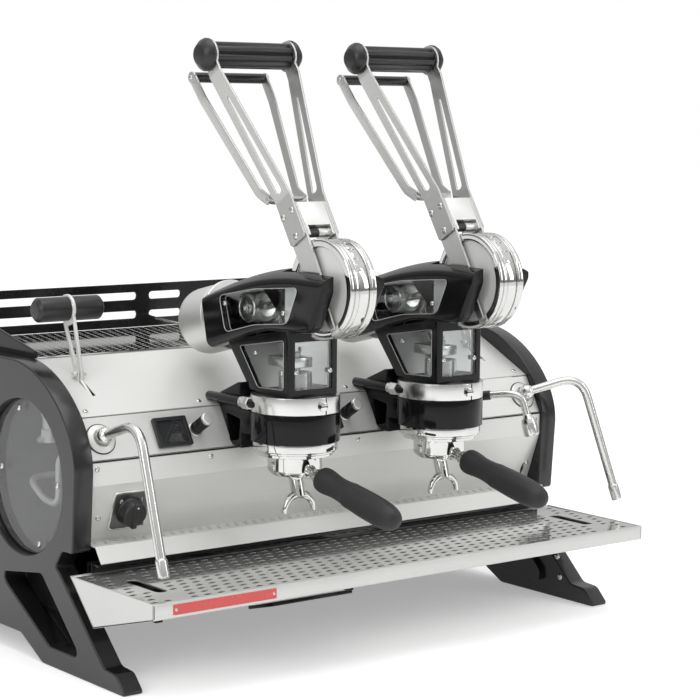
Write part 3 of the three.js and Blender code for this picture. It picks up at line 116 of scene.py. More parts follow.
def rect(x0, x1, y0, y1, radius=0.0, steps=4):
    """A rectangle between four lines, with rounded corners if a radius is given."""
    corners = [(x0, y0), (x1, y0), (x1, y1), (x0, y1)]
    return rounded(corners, radius, steps) if radius else corners


def arc(x, y, radius, start, end, steps=24):
    angles = [math.radians(start + (end - start) * k / steps) for k in range(steps + 1)]
    return [(x + radius * math.cos(a), y + radius * math.sin(a)) for a in angles]


def circle(x, y, radius, steps=48):
    return arc(x, y, radius, 0, 360, steps)[:-1]


def bend(start, lean_out, lean_in, end, steps=14):
    """Points on a cubic bend between two places."""
    ends = [Vector(p) for p in (start, lean_out, lean_in, end)]
    path = []
    for k in range(steps + 1):
        t = k / steps
        shares = ((1 - t) ** 3, 3 * t * (1 - t) ** 2, 3 * t**2 * (1 - t), t**3)
        path.append(sum((p * w for p, w in zip(ends, shares)), Vector((0, 0))))
    return path


def softened(points, rounds=2):
    """Corner cutting that keeps both ends, for any number of columns."""
    for _ in range(rounds):
        path = [points[0]]
        for a, b in zip(points, points[1:]):
            path.append([u * 0.75 + v * 0.25 for u, v in zip(a, b)])
            path.append([u * 0.25 + v * 0.75 for u, v in zip(a, b)])
        points = [*path, points[-1]]
    return points


# Solids


def new_mesh(shape):
    mesh = bpy.data.meshes.new("drawn")
    shape.to_mesh(mesh)
    shape.free()
    return mesh


def linked(name, data):
    """A new object that is in the scene."""
    thing = bpy.data.objects.new(name, data)
    bpy.context.scene.collection.objects.link(thing)
    return thing


def baked(thing):
    """The finished mesh of a curve or mesh object, with its modifiers applied."""
    graph = bpy.context.evaluated_depsgraph_get()
    mesh = bpy.data.meshes.new_from_object(thing.evaluated_get(graph))
    bpy.data.objects.remove(thing)
    return mesh


def shifted(mesh, *steps):
    """The mesh itself moved by the steps, the last one first."""
    for step in reversed(steps):
        mesh.transform(step)
    return mesh


def together(*meshes):
    shape = bmesh.new()
    for mesh in meshes:
        shape.from_mesh(mesh)
    return new_mesh(shape)


def plate(outline, holes=(), thick=3.0, edge=0.4, rings=2):
    """A flat plate with rounded edges, drawn in X and Y about its middle plane."""
    curve = bpy.data.curves.new("plate", "CURVE")
    curve.dimensions = "2D"
    curve.fill_mode = "BOTH"
    curve.extrude = thick / 2 - edge
    curve.bevel_depth = edge
    curve.bevel_resolution = rings
    curve.offset = -edge
    for loop in (outline, *holes):
        spline = curve.splines.new("POLY")
        spline.points.add(len(loop) - 1)
        for point, place in zip(spline.points, loop):
            point.co = (place[0], place[1], 0, 1)
        spline.use_cyclic_u = True
    mesh = baked(linked("plate", curve))
    bpy.data.curves.remove(curve)
    return mesh


def across(outline, thick, edge, holes=(), rings=2):
    """A plate drawn in depth and height."""
    return shifted(plate(outline, holes, thick, edge, rings), ACROSS_X)


def facing(outline, thick, edge, holes=(), y=0.0):
    """A plate drawn in width and height, at a depth."""
    return shifted(plate(outline, holes, thick, edge), moved(0, y), FACING_FRONT)


def lathe(profile, steps=64, closed=False):
    """A profile of radius and height turned about Z."""
    shape = bmesh.new()
    round_points = circle(0, 0, 1, steps)
    rings = []
    for radius, height in profile:
        if radius < 1e-6:
            rings.append([shape.verts.new((0, 0, height))])
        else:
            rings.append([shape.verts.new((radius * c, radius * s, height)) for c, s in round_points])
    pairs = list(zip(rings, rings[1:])) + ([(rings[-1], rings[0])] if closed else [])
    for low, high in pairs:
        for k in range(steps):
            n = (k + 1) % steps
            corners = (low[k % len(low)], low[n % len(low)], high[n % len(high)], high[k % len(high)])
            corners = list(dict.fromkeys(corners))
            if len(corners) > 2:
                shape.faces.new(corners)
    bmesh.ops.recalc_face_normals(shape, faces=shape.faces)
    return new_mesh(shape)


def soft_lathe(profile, radius=0.6, steps=64, closed=False):
    return lathe(rounded(profile, radius, 3, closed), steps, closed)


def rod(radius, low, high, edge=0.4, steps=48):
    return soft_lathe([(0, low), (radius, low), (radius, high), (0, high)], edge, steps)


def cross_rod(radius, low, high, edge=0.4, x=0, y=0, z=0):
    """A rod that lies across the machine."""
    return shifted(rod(radius, low, high, edge), moved(x, y, z), ACROSS_X)


def ball(radius):
    return lathe([(max(x, 0), z) for x, z in arc(0, 0, radius, -90, 90)], 48)


def nut(radius, thick):
    return plate(circle(0, 0, radius, 6), (), thick, 0.8)


def dome_screw(radius, rise):
    """A domed screw head with a round socket, standing on Z zero."""
    return lathe([
        (0, -1), (radius, -1), (radius, rise * 0.3), (radius * 0.9, rise * 0.65), (radius * 0.66, rise),
        (radius * 0.42, rise * 1.08), (radius * 0.38, rise * 0.3), (0, rise * 0.3),
    ], 28)


def skin(rings):
    """Closes a row of rings of points into one solid."""
    shape = bmesh.new()
    rows = [[shape.verts.new(point) for point in ring] for ring in rings]
    count = len(rows[0])
    for low, high in zip(rows, rows[1:]):
        for k in range(count):
            n = (k + 1) % count
            shape.faces.new((low[k], low[n], high[n], high[k]))
    shape.faces.new(rows[0][::-1])
    shape.faces.new(rows[-1])
    bmesh.ops.recalc_face_normals(shape, faces=shape.faces)
    return new_mesh(shape)


def sweep(path, section, across_axis=(1, 0, 0), scales=None):
    """A closed skin of one section carried along a path; its first axis stays across."""
    points = [Vector(p) for p in path]
    scales = scales or [(1, 1)] * len(points)
    rings = []
    for k, point in enumerate(points):
        ahead = points[min(k + 1, len(points) - 1)] - points[max(k - 1, 0)]
        ahead.normalize()
        side = Vector(across_axis)
        side = (side - ahead * side.dot(ahead)).normalized()
        other = ahead.cross(side)
        wide, deep = scales[k]
        rings.append([point + side * (a * wide) + other * (b * deep) for a, b in section])
    return skin(rings)


def tube(path, radius, across_axis=(1, 0, 0), scales=None):
    return sweep(path, circle(0, 0, radius, 20), across_axis, scales)


def block(x0, x1, y0, y1, z0, z1, edge=0.0, rings=2):
    """A box between six places, with rounded edges if asked."""
    shape = bmesh.new()
    bmesh.ops.create_cube(shape, size=1)
    middle = Vector(((x0 + x1) / 2, (y0 + y1) / 2, (z0 + z1) / 2))
    bmesh.ops.scale(shape, vec=(x1 - x0, y1 - y0, z1 - z0), verts=shape.verts)
    bmesh.ops.translate(shape, vec=middle, verts=shape.verts)
    if edge:
        bmesh.ops.bevel(shape, geom=shape.edges[:], offset=edge, segments=rings, profile=0.5, affect="EDGES")
    return new_mesh(shape)


def carved(mesh, *tools, operation="DIFFERENCE"):
    body = linked("body", mesh)
    cutters = []
    for tool in tools:
        cutter = linked("cutter", tool)
        cutters.append(cutter)
        cut = body.modifiers.new("cut", "BOOLEAN")
        cut.operation = operation
        cut.object = cutter
        cut.solver = "EXACT"
    result = baked(body)
    for cutter in cutters:
        bpy.data.objects.remove(cutter)
    return result


# Pieces


def piece(name, look, *parts, here=placed(), body="machine", stands_for=None, sharp=30):
    """One named object out of drawn meshes, each at its own place or at the shared one."""
    shape = bmesh.new()
    for part in parts:
        mesh, place = part if isinstance(part, tuple) else (part, here)
        copy = mesh.copy()
        copy.transform(place)
        shape.from_mesh(copy)
        bpy.data.meshes.remove(copy)
    whole = new_mesh(shape)
    whole.name = name
    whole.materials.clear()
    whole.materials.append(LOOKS[look])
    whole.shade_smooth()
    whole.set_sharp_from_angle(angle=math.radians(sharp))
    thing = linked(name, whole)
    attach(thing, body)
    if stands_for:
        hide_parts(stands_for)


def pair(mesh, here, x, y=0.0, z=0.0):
    """The mesh on both sides of a place, each as drawn."""
    return [(mesh, here @ moved(side * x, y, z)) for side, _ in SIDES]


def outward_pair(mesh, here, x=0.0, y=0.0, z=0.0):
    """The mesh, drawn standing on Z, on both sides of a place and turned away from it."""
    return [(mesh, here @ moved(side * x, y, z) @ outward(side)) for side, _ in SIDES]


# Materials

# Where the noise's middle range starts and ends
SPAN = (0.3, 0.7)


def fill(tree, target, inputs):
    """Sets a node's sockets to values, or links them to other sockets or to nodes' first outputs."""
    for socket, value in inputs.items():
        if isinstance(value, bpy.types.Node):
            value = value.outputs[0]
        if isinstance(value, bpy.types.NodeSocket):
            tree.links.new(value, target.inputs[socket])
        else:
            target.inputs[socket].default_value = value


def node(tree, kind, inputs=None, operation=None):
    made = tree.nodes.new("ShaderNode" + kind)
    if operation:
        made.operation = operation
    fill(tree, made, inputs or {})
    return made


def shader(name="look"):
    material = bpy.data.materials.new(name)
    material.use_nodes = True
    tree = material.node_tree
    return material, tree, tree.nodes["Principled BSDF"]


def noise(tree, scale, detail=3.0, stretch=(1, 1, 1)):
    mapping = node(tree, "Mapping", {"Vector": node(tree, "TexCoord").outputs["Object"], "Scale": stretch})
    return node(tree, "TexNoise", {"Vector": mapping, "Scale": scale, "Detail": detail})


def spread(tree, value, low, high):
    """A texture's value carried between two limits."""
    limits = {"From Min": SPAN[0], "From Max": SPAN[1], "To Min": low, "To Max": high}
    return node(tree, "MapRange", {"Value": value, **limits})


def shade_range(tree, value, dark, light):
    ramp = node(tree, "ValToRGB", {"Fac": value})
    for stop, place, tone in zip(ramp.color_ramp.elements, SPAN, (dark, light)):
        stop.position = place
        stop.color = (*tone, 1)
    return ramp


def bump(tree, value, strength, distance, edge=0.0):
    """Relief from a texture, over edges that a bevel node rounds by the given metres."""
    relief = node(tree, "Bump", {"Height": value, "Strength": strength, "Distance": distance})
    if edge:
        round_edge = node(tree, "Bevel", {"Radius": edge})
        round_edge.samples = 4
        fill(tree, relief, {"Normal": round_edge})
    return relief


def metal(dark, light, rough, stretch=(1, 1, 1), scale=300, relief=0.02, edge=0.0, warm=0.98, pure=1.0):
    """Two tones of grey, the range of roughness, the grain, and the metallic share."""
    material, tree, surface = shader()
    grain = noise(tree, scale, stretch=stretch)
    cloud = noise(tree, 9, detail=5.0)
    tones = [(shade, shade * 1.004, shade * warm) for shade in (dark, light)]
    fill(tree, surface, {
        "Metallic": pure,
        "Base Color": shade_range(tree, grain, *tones),
        "Roughness": spread(tree, cloud, *rough),
        "Normal": bump(tree, grain, relief, 0.0004, edge),
    })
    return material


def plastic(dark, light, rough, relief, scale=700, coat=0.0, edge=0.0, shine=0.5):
    """Two colours, the range of roughness, the grain, and how strongly the face mirrors."""
    material, tree, surface = shader()
    grain = noise(tree, scale)
    cloud = noise(tree, 14, detail=4.0)
    fill(tree, surface, {
        "Base Color": shade_range(tree, cloud, dark, light),
        "Roughness": spread(tree, cloud, *rough),
        "Specular IOR Level": shine,
        "Coat Weight": coat,
        "Coat Roughness": 0.04,
        "Normal": bump(tree, grain, relief, 0.0003, edge),
    })
    return material


def clear(tint, haze=0.0, haze_tone=(0.2, 0.2, 0.2)):
    """A thin pane: see-through, with a glossy skin that grows at grazing angles, and some haze."""
    material, tree, surface = shader()
    tree.nodes.remove(surface)
    wave = noise(tree, 25)
    through = node(tree, "BsdfTransparent", {"Color": (*tint, 1)})
    veil = node(tree, "BsdfDiffuse", {"Color": (*haze_tone, 1)})
    gloss = node(tree, "BsdfGlossy", {"Roughness": 0.03, "Normal": bump(tree, wave, 0.02, 0.0004)})
    grazing = node(tree, "LayerWeight", {"Blend": 0.5}).outputs["Facing"]
    steep = node(tree, "Math", {0: grazing, 1: 4.0}, "POWER")
    share = node(tree, "Math", {0: steep, 1: 0.6, 2: 0.04}, "MULTIPLY_ADD")
    cloudy = node(tree, "MixShader", {"Fac": spread(tree, wave, haze * 0.9, haze * 1.1), 1: through, 2: veil})
    mix = node(tree, "MixShader", {"Fac": share, 1: cloudy, 2: gloss})
    fill(tree, tree.nodes["Material Output"], {"Surface": mix})
    return material


BLACK = (0.004, 0.004, 0.0045)
SOOT = (0.009, 0.009, 0.0095)
GRAIN_ACROSS, GRAIN_UP = (0.02, 1, 1), (1, 1, 0.04)
LOOKS = {
    "black_paint": plastic(BLACK, SOOT, (0.09, 0.14), 0.012, edge=0.0012, shine=0.24),
    "black_side": plastic((0.008,) * 3, (0.013,) * 3, (0.2, 0.26), 0.02, edge=0.0012),
    "black_gloss": plastic(BLACK, SOOT, (0.07, 0.11), 0.01, shine=0.22),
    "tray_steel": metal(0.58, 0.61, (0.3, 0.36), GRAIN_ACROSS, 700, 0.012, 0.0006, 0.975, 0.45),
    "panel_steel": metal(0.7, 0.72, (0.36, 0.4), GRAIN_ACROSS, 700, 0.012, 0.0006, 0.975, 0.35),
    "mirror_steel": metal(0.74, 0.78, (0.05, 0.08), GRAIN_ACROSS, 500, 0.01),
    "grille_steel": metal(0.72, 0.76, (0.09, 0.13), GRAIN_ACROSS, 500, 0.01, pure=0.8),
    "soft_chrome": metal(0.63, 0.67, (0.2, 0.26), scale=600, relief=0.01, edge=0.0004),
    "bright_edge": metal(0.80, 0.86, (0.14, 0.2), scale=400, relief=0.01),
    "brushed_steel": metal(0.6, 0.66, (0.3, 0.38), GRAIN_UP, 900, 0.04, 0.0004),
    "arm_steel": metal(0.52, 0.56, (0.38, 0.44), (1, 1, 0.03), 1100, 0.03, 0.0, 0.975),
    "chrome_plate": metal(0.58, 0.62, (0.03, 0.06), scale=60, relief=0.008),
    "satin_aluminium": metal(0.72, 0.77, (0.4, 0.48), scale=1500, relief=0.08, edge=0.0004),
    "lining": metal(0.78, 0.82, (0.45, 0.55), scale=700, relief=0.02, pure=0.5),
    "lagging": metal(0.3, 0.5, (0.3, 0.5), scale=40, relief=0.2),
    "rubber_grip": plastic((0.008,) * 3, (0.013,) * 3, (0.3, 0.38), 0.06, 1600),
    "matte_rubber": plastic((0.014,) * 3, (0.02,) * 3, (0.48, 0.58), 0.1, 1600, shine=0.4),
    "graphite": metal(0.14, 0.18, (0.3, 0.36), GRAIN_UP, 900, 0.02),
    "black_plastic": plastic((0.009,) * 3, (0.016,) * 3, (0.3, 0.4), 0.05, 1200),
    "shadow_gap": plastic(BLACK, SOOT, (0.6, 0.7), 0.02),
    "screen": plastic((0.03, 0.03, 0.032), (0.05, 0.05, 0.052), (0.08, 0.14), 0.0, coat=0.5),
    "red_enamel": plastic((0.55, 0.045, 0.04), (0.6, 0.055, 0.05), (0.22, 0.3), 0.02, coat=0.5),
    "white_mark": plastic((0.7,) * 3, (0.78,) * 3, (0.4, 0.5), 0.02),
    "clear_glass": clear((0.93, 0.94, 0.94)),
    "smoked_glass": clear((0.9, 0.91, 0.91), 0.13, (0.3, 0.3, 0.3)),
}
for look_name, look_material in LOOKS.items():
    look_material.name = look_name


def dress_cad_nodes():
    """Every CAD node shows its finish, also where a finer piece stands for it."""
    slots = {part["node"]: part["material_slot"] for part in frame["record"]["subparts"]}
    for name, thing in frame["nodes"].items():
        slot = slots[name]
        thing.data.materials.clear()
        thing.data.materials.append(LOOKS["panel_steel" if slot == "polished_steel" else slot])
        thing.data.shade_smooth()
        thing.data.set_sharp_from_angle(angle=math.radians(28))


# Groups

HOUSE_HALF = 48
HOUSE_FOOT = 337.3
HUB = (-76, 474)
CAN_TILT = -13
CAN_START = 26
# Depth, underside, side height and crown of the housing
STATIONS = [
    (-116, 476, 487, 9), (-115, 472, 487, 9.5), (-99, 438, 487, 10), (-88, 423, 487, 10),
    (-68, 420, 487, 10.5), (-46, 420, 487, 11), (-2, 419, 483, 13), (44, 409, 475, 13),
    (89, 396, 463, 13), (124, 386, 453, 12), (152, 378, 443, 12),
]
SIDE_WINDOW = [(100, 455), (24, 469), (-68, 477), (-46, 431), (24, 424), (86, 409)]
LOW_WINDOW = [(68, 393), (-26, 408), (-26, 346), (28, 344)]
FRONT_WINDOW = (-29, 29, 346, 406)
# How far out the panes and their trims stand
PANE_AT, LOW_PANE_AT, TRIM_AT, LOW_TRIM_AT = 44.5, 34.5, 47.9, 37.9
PANE_THICK = 1.6
FRONT_PANE_Y, FRONT_SCREW_Y = -36, -37
LANTERN_LINING_AT, CAVITY_LINING_AT = 31.2, 39.2
HOUSE_SCREWS = [(45.3, 90.6, 445.6), (45.3, -34.8, 443), (35.3, 37.4, 386.7), (35.3, -18.9, 366.1)]


def house_section(low, side, crown):
    """Half a section of the housing from its low corner up to the middle of the crown."""
    corner = min(10, (side - low) / 3)
    right = arc(HOUSE_HALF - corner, low + corner, corner, -90, 0, 6)
    shoulder = 0.965 * HOUSE_HALF
    for t in (0.0, 0.35, 0.65, 0.85, 1.0):
        right.append((HOUSE_HALF - (HOUSE_HALF - shoulder) * t**2, side - corner * 0.7 * (1 - t)))
    for k in range(1, 15):
        x = shoulder * (1 - (k / 14) ** 1.5)
        right.append((x, side + crown * (1 - (x / shoulder) ** 2.4) ** 0.9))
    return right


def house_shell():
    rings = []
    for y, low, side, crown in softened(STATIONS, 2):
        right = house_section(low, side, crown)
        rings.append([(x, y, z) for x, z in right + [(-x, z) for x, z in right[-2::-1]]])
    return skin(rings)


def spring_line(distance=0):
    return moved(0, 110, 431, (CAN_TILT, 0, 0)) @ moved(0, distance)


def housing_mesh():
    lantern = across([(-38, HOUSE_FOOT), (-38, 425), (97, 397), (45, HOUSE_FOOT)], 76, 2.5)
    whole = carved(house_shell(), lantern, operation="UNION")
    past = 2 * (HOUSE_HALF + 4)
    x0, x1, z0, z1 = FRONT_WINDOW
    return carved(
        whole,
        across([(-32, 428), (-32, 483), (124, 451), (124, 393)], 80, 0),
        across([(-31.5, 317), (-31.5, 412), (84, 390.5), (38.5, HOUSE_FOOT), (38.5, 317)], 63, 0),
        block(-30.3, 30.3, -136, -39.2, 372, 527),
        block(-30.3, 30.3, -58, -12, 422.4, 527),
        across(rounded(SIDE_WINDOW, 9), past, 0),
        across(rounded(LOW_WINDOW, 4.5), past, 0),
        block(x0, x1, -58, -25, z0, z1),
        shifted(rod(8.3, -5, 40), spring_line(), ALONG_Y),
        shifted(block(-96, 96, 0, 60, -60, 60), spring_line(CAN_START - 0.3)),
        cross_rod(5.3, -40.3, 40.3, 0.4, 0, *HUB),
    )


def window_trim(window, radius, thick):
    loop = [Vector((0, y, z)) for y, z in rounded(window, radius)]
    return tube([*loop, loop[0]], thick)


def add_housings():
    shell = housing_mesh()
    side_pane = across(rounded(SIDE_WINDOW, 9.5), PANE_THICK, 0.2)
    low_pane = across(rounded(LOW_WINDOW, 4.8), PANE_THICK, 0.2)
    front_pane = facing(rect(*FRONT_WINDOW, 2), PANE_THICK, 0.2)
    trim, low_trim = window_trim(SIDE_WINDOW, 9, 0.55), window_trim(LOW_WINDOW, 4.5, 0.45)
    screw = dome_screw(3.4, 1.8)
    # Bright sheets that line the lantern and the cavity above it
    lantern_side = across([(-31.5, 340), (-31.5, 411), (83, 390), (38, 340)], 1, 0.2,
                          [rounded(LOW_WINDOW, 4.5)])
    cavity_side = across([(-31, 429), (-31, 482), (123.5, 450), (123.5, 394)], 1, 0.2,
                         [rounded(SIDE_WINDOW, 9)[::-1]])
    inner_sheets = [
        shifted(block(-39.5, 39.5, -30, 120, -1, 0), moved(0, 0, 476, (-11.6, 0, 0))),
        shifted(block(-39.5, 39.5, -30, 120, 0, 1), moved(0, 0, 421.3, (-12.6, 0, 0))),
        block(-31, 31, -31, 83, 409, 410),
        shifted(block(-31, 31, 0, 1, 0, 68), moved(0, 40, 341, (-40, 0, 0))),
    ]
    for i in GROUP_X:
        here = at_group(i)
        piece(f"housing_shell_{i}", "black_paint", shell, here=here, sharp=32,
              stands_for=f"group_{i}_housing")
        piece(f"housing_panes_{i}", "clear_glass", *pair(side_pane, here, PANE_AT),
              *pair(low_pane, here, LOW_PANE_AT), (front_pane, here @ moved(0, FRONT_PANE_Y)))
        piece(f"window_trims_{i}", "arm_steel", *pair(trim, here, TRIM_AT),
              *pair(low_trim, here, LOW_TRIM_AT))
        screws = [spot for place in HOUSE_SCREWS for spot in outward_pair(screw, here, *place)]
        piece(f"housing_screws_{i}", "chrome_plate", *screws,
              *[(screw, here @ moved(x, FRONT_SCREW_Y, 368, (90, 0, 0))) for x in (-26.3, 26.3)])
        piece(f"housing_lining_{i}", "lining", *pair(lantern_side, here, LANTERN_LINING_AT),
              *pair(cavity_side, here, CAVITY_LINING_AT), *inner_sheets, here=here)


CAN_PROFILE = [
    (8.3, 0), (45.2, 0), (46, 0.8), (46, 5.2), (45.2, 6), (44, 6.4), (44, 11), (43.6, 11.4), (43.6, 12),
    (44, 12.4), (44, 60), (43.7, 63), (42.8, 66.4), (41, 69.8), (38, 72.8), (33.5, 75.4), (27, 77.5),
    (18, 79), (9, 79.8), (0, 80), (0, 76), (28.8, 72), (40, 62), (40, 4), (8.3, 4),
]
ROD_PROFILE = [
    (0, -124), (5, -124), (5, -50), (14, -50), (19, -46), (19, -28), (15, -24), (8, -24), (8, 31), (31, 31),
    (31, 35), (8, 35), (8, 70), (0, 70),
]
ROLLER_PROFILE = [(0, 17), (18.4, 17), (18.4, 22.5), (16.2, 24), (15.4, 22.8), (7, 22.8), (6, 26), (0, 26)]
CROSSHEAD_AT = -37
SPRING = {"start": 38.29, "turns": 5, "length": 32.8, "radius": 23, "wire": 2.5, "steps": 28}


def spring_coil():
    """One unbroken wire wound about the rod."""
    count = SPRING["turns"] * SPRING["steps"]
    turns = arc(0, 0, SPRING["radius"], 0, 360 * SPRING["turns"], count)
    coil = [(x, SPRING["start"] + SPRING["length"] * k / count, z) for k, (x, z) in enumerate(turns)]
    return tube(coil, SPRING["wire"], (0, 1, 0))


def add_springs():
    can = lathe([*CAN_PROFILE, CAN_PROFILE[0]], 96)
    stem = soft_lathe(ROD_PROFILE, 0.8, 48)
    roller = soft_lathe(ROLLER_PROFILE, 0.4)
    bolt = dome_screw(4.4, 2.4)
    wire = spring_coil()
    for i in GROUP_X:
        line = at_group(i) @ spring_line()
        body = f"spring_rod_{i}"
        piece(f"spring_can_{i}", "satin_aluminium", can, here=line @ moved(0, CAN_START) @ ALONG_Y,
              stands_for=f"group_{i}_spring_can", sharp=40)
        piece(f"spring_rod_{i}", "soft_chrome", (stem, line @ ALONG_Y),
              *outward_pair(roller, line, 0, CROSSHEAD_AT), body=body, stands_for=f"group_{i}_spring_rod")
        piece(f"crosshead_bolts_{i}", "chrome_plate", *outward_pair(bolt, line, 26, CROSSHEAD_AT), body=body)
        piece(f"spring_coil_{i}", "brushed_steel", wire, here=line, body=body, stands_for=f"group_{i}_spring")


PISTON_PROFILE = [
    (0, 340.3), (15, 340.3), (16, 341.3), (16, 345), (15.2, 345.4), (15.2, 347), (16, 347.4), (16, 354),
    (6.5, 354), (6.5, 389), (0, 389),
]


def add_pistons():
    head = soft_lathe(PISTON_PROFILE, 0.3, 48)
    yoke = block(-17, 17, -14, 36, 370, 383, 1.5)
    for i in GROUP_X:
        piece(f"brew_piston_{i}", "soft_chrome", head, yoke, here=at_group(i), body=f"brew_piston_{i}",
              stands_for=f"group_{i}_brew_piston")


BRACKET = [
    (20, 283), (56, 283), (56, 263), (76.45, 266), (104.8, 313.25), (123, 321.97), (64, 347), (58, 347),
    (58, 315), (20, 313),
]
BRACKET_WINDOW = [(89, 305), (58, 300), (61, 274), (78, 270)]
CLAMP_PROFILE = [(0, 315.3), (57, 315.3), (57, 337), (21, 337), (21, 364), (16.5, 364), (16.5, 340), (0, 340)]
BAYONET_PROFILE = [
    (0, 269.8), (43.5, 269.8), (43.5, 262.4), (36.5, 262.4), (36.5, 260), (48, 260), (48, 263.6),
    (51.6, 264.4), (51.6, 266.6), (54.5, 267.6), (54.5, 277.7), (0, 277.7),
]
# Where the inlet pipe runs, across and in height
PIPE_X, PIPE_Z = -51, 325


def add_group_bodies():
    drum = soft_lathe([(30, 278), (57, 278), (57, 315), (30, 315)], 1.2, 96, True)
    bracket = across(rounded(BRACKET, 1.2, 3), 88, 1.4, [rounded(BRACKET_WINDOW, 3)[::-1]])
    bracket = carved(bracket, rod(30, 240, 330))
    ring = soft_lathe(CLAMP_PROFILE, 1.0, 96)
    tab = block(-5, 5, -61, -53, 321, 332, 1.0)
    pipe = shifted(rod(6, 10, 117.2), moved(PIPE_X, 0, PIPE_Z), ALONG_Y)
    union = shifted(nut(9, 14), moved(PIPE_X, 31, PIPE_Z), ALONG_Y)
    collar = shifted(rod(7.4, 38.3, 44, 0.8), moved(PIPE_X, 0, PIPE_Z), ALONG_Y)
    # A dark rod through the clamp's tab and a thin dark sheet in the ring's split: painted shade where the
    # hole and the split would be
    hole = cross_rod(2.7, -5.3, 5.3, 0.1, 0, -58.4, 326.5)
    split = block(5.4, 6.3, -57.3, -50, 315.6, 336.8)
    entry = shifted(block(-43.5, 43.5, -10.5, 10.5, 258, 262.9), moved(turn=(0, 0, -50)))
    bayonet = carved(soft_lathe(BAYONET_PROFILE, 0.5, 96), entry)
    for i in GROUP_X:
        here = at_group(i)
        piece(f"group_casting_{i}", "black_gloss", drum, bracket, here=here, stands_for=f"group_{i}_body")
        piece(f"clamp_ring_{i}", "soft_chrome", ring, tab, union, collar, here=here,
              stands_for=f"group_{i}_clamp_ring")
        piece(f"inlet_pipe_{i}", "black_paint", pipe, here=here)
        # Painted shade in the clamp's hole and split
        piece(f"clamp_gap_shade_{i}", "shadow_gap", hole, split, here=here)
        piece(f"bayonet_ring_{i}", "chrome_plate", bayonet, here=here, stands_for=f"group_{i}_bayonet_ring")


CUP_PROFILE = [
    (0, 234), (29, 234), (34.5, 240), (34.5, 258), (35.5, 258), (35.5, 269.5), (31, 269.5), (31, 241),
    (0, 241),
]
NECK_PROFILE = [(0, 28), (11, 30), (8.4, 34), (6.6, 40), (6.6, 44), (9, 48), (9, 58), (0, 58)]
# The handle's reach from the cup's middle, and its radius by shares along it
HANDLE = {"radius": 17.5, "start": 58.3, "end": 211, "height": 248, "turn": (102, 0, 0)}
HANDLE_SHARES = [
    (0, 0.74), (0.02, 0.94), (0.09, 0.93), (0.2, 0.8), (0.33, 0.84), (0.4, 0.95), (0.43, 0.93),
    (0.6, 1), (0.82, 0.98), (0.93, 0.82), (0.985, 0.5), (1, 0),
]
CRESCENT = {"y": -9, "z": 187, "radius": 22.5, "thick": 5.5, "steps": 36}


def crescent_spout():
    """The twin spout: a half ring, thinner towards its two mouths."""
    half_ring = arc(0, CRESCENT["z"], CRESCENT["radius"], 0, 180, CRESCENT["steps"])
    heights = [(z - CRESCENT["z"]) / CRESCENT["radius"] for _, z in half_ring]
    sizes = [(0.72 + 0.2 * s, 0.42 + 0.58 * s) for s in heights]
    return tube([(x, CRESCENT["y"], z) for x, z in half_ring], CRESCENT["thick"], (0, 1, 0), sizes)


def add_portafilters():
    ears = [block(x0, x1, -8, 8, 262.8, 268, 0.8) for x0, x1 in ((-41.5, -34), (34, 41.5))]
    lug = block(-36.5, -30, -4, 4, 243, 252, 1.2)
    stem = tube(rounded([(0, 0, 236), (0, -2.2, 228), (0, -4.5, 221), (0, -9, 206)], 6, 4, False), 9)
    waist = soft_lathe([(0, 0), (10.5, 0), (10.5, 3), (9, 5), (0, 5)], 0.8)
    holder = [soft_lathe(CUP_PROFILE, 1.2, 96), *ears, stem, shifted(waist, moved(0, -1, 230, (14, 0, 0))),
              crescent_spout(), lug]
    neck = soft_lathe(NECK_PROFILE, 0.8, 48)
    start, length = HANDLE["start"], HANDLE["end"] - HANDLE["start"]
    side = [(HANDLE["radius"] * share, start + length * part) for part, share in softened(HANDLE_SHARES)]
    handle = lathe([(0, start), *side], 72)
    for i in GROUP_X:
        line = at_group(i, 0, 0, HANDLE["height"], HANDLE["turn"])
        body = f"portafilter_{i}"
        piece(f"filter_holder_{i}", "chrome_plate", *holder, (neck, line), here=at_group(i), body=body,
              stands_for=f"portafilter_{i}_body")
        piece(f"filter_handle_{i}", "matte_rubber", handle, here=line, body=body,
              stands_for=f"portafilter_{i}_handle", sharp=60)


# Levers

LEVER_LEAN = -32.4
WHEEL_PROFILE = [
    (53, -20.3), (61, -20.3), (62.5, -19), (62.5, -16.5), (59.5, -15.5), (59.5, -13.5), (61.5, -12.5),
    (61.5, -9), (60, -8), (60, -6.5), (61.3, -6), (61.3, 7), (58.5, 7.5), (58.5, 9), (61.5, 9.5),
    (62, 12.5), (60, 13.5), (60, 15), (61.5, 16), (61.5, 19), (60.5, 20.3), (53, 20.3), (52, 18.6),
    (51, 15), (17, 14), (15, 15), (15, 19), (11, 20.3), (5, 20.3), (5, 40), (0, 40),
]
# The wheel's left face mirrors the right one, from the axis out to the rim
FRONT_WHEEL = [(r, -h) for r, h in WHEEL_PROFILE[-1:21:-1]]
PAD_ANGLES = (48, 62, 77, 93)


def belt_pads():
    turns = [moved(turn=(angle, 0, 0)) for angle in PAD_ANGLES]
    return together(*[shifted(block(-5.5, 5.5, -4.6, 4.6, 60.6, 62.4, 0.6), turn) for turn in turns])


ARM = {"low": 67.7, "bend_low": 128, "bend_high": 310, "eye_at": 337.6, "root": 25.6, "splay": 61, "thick": 3}


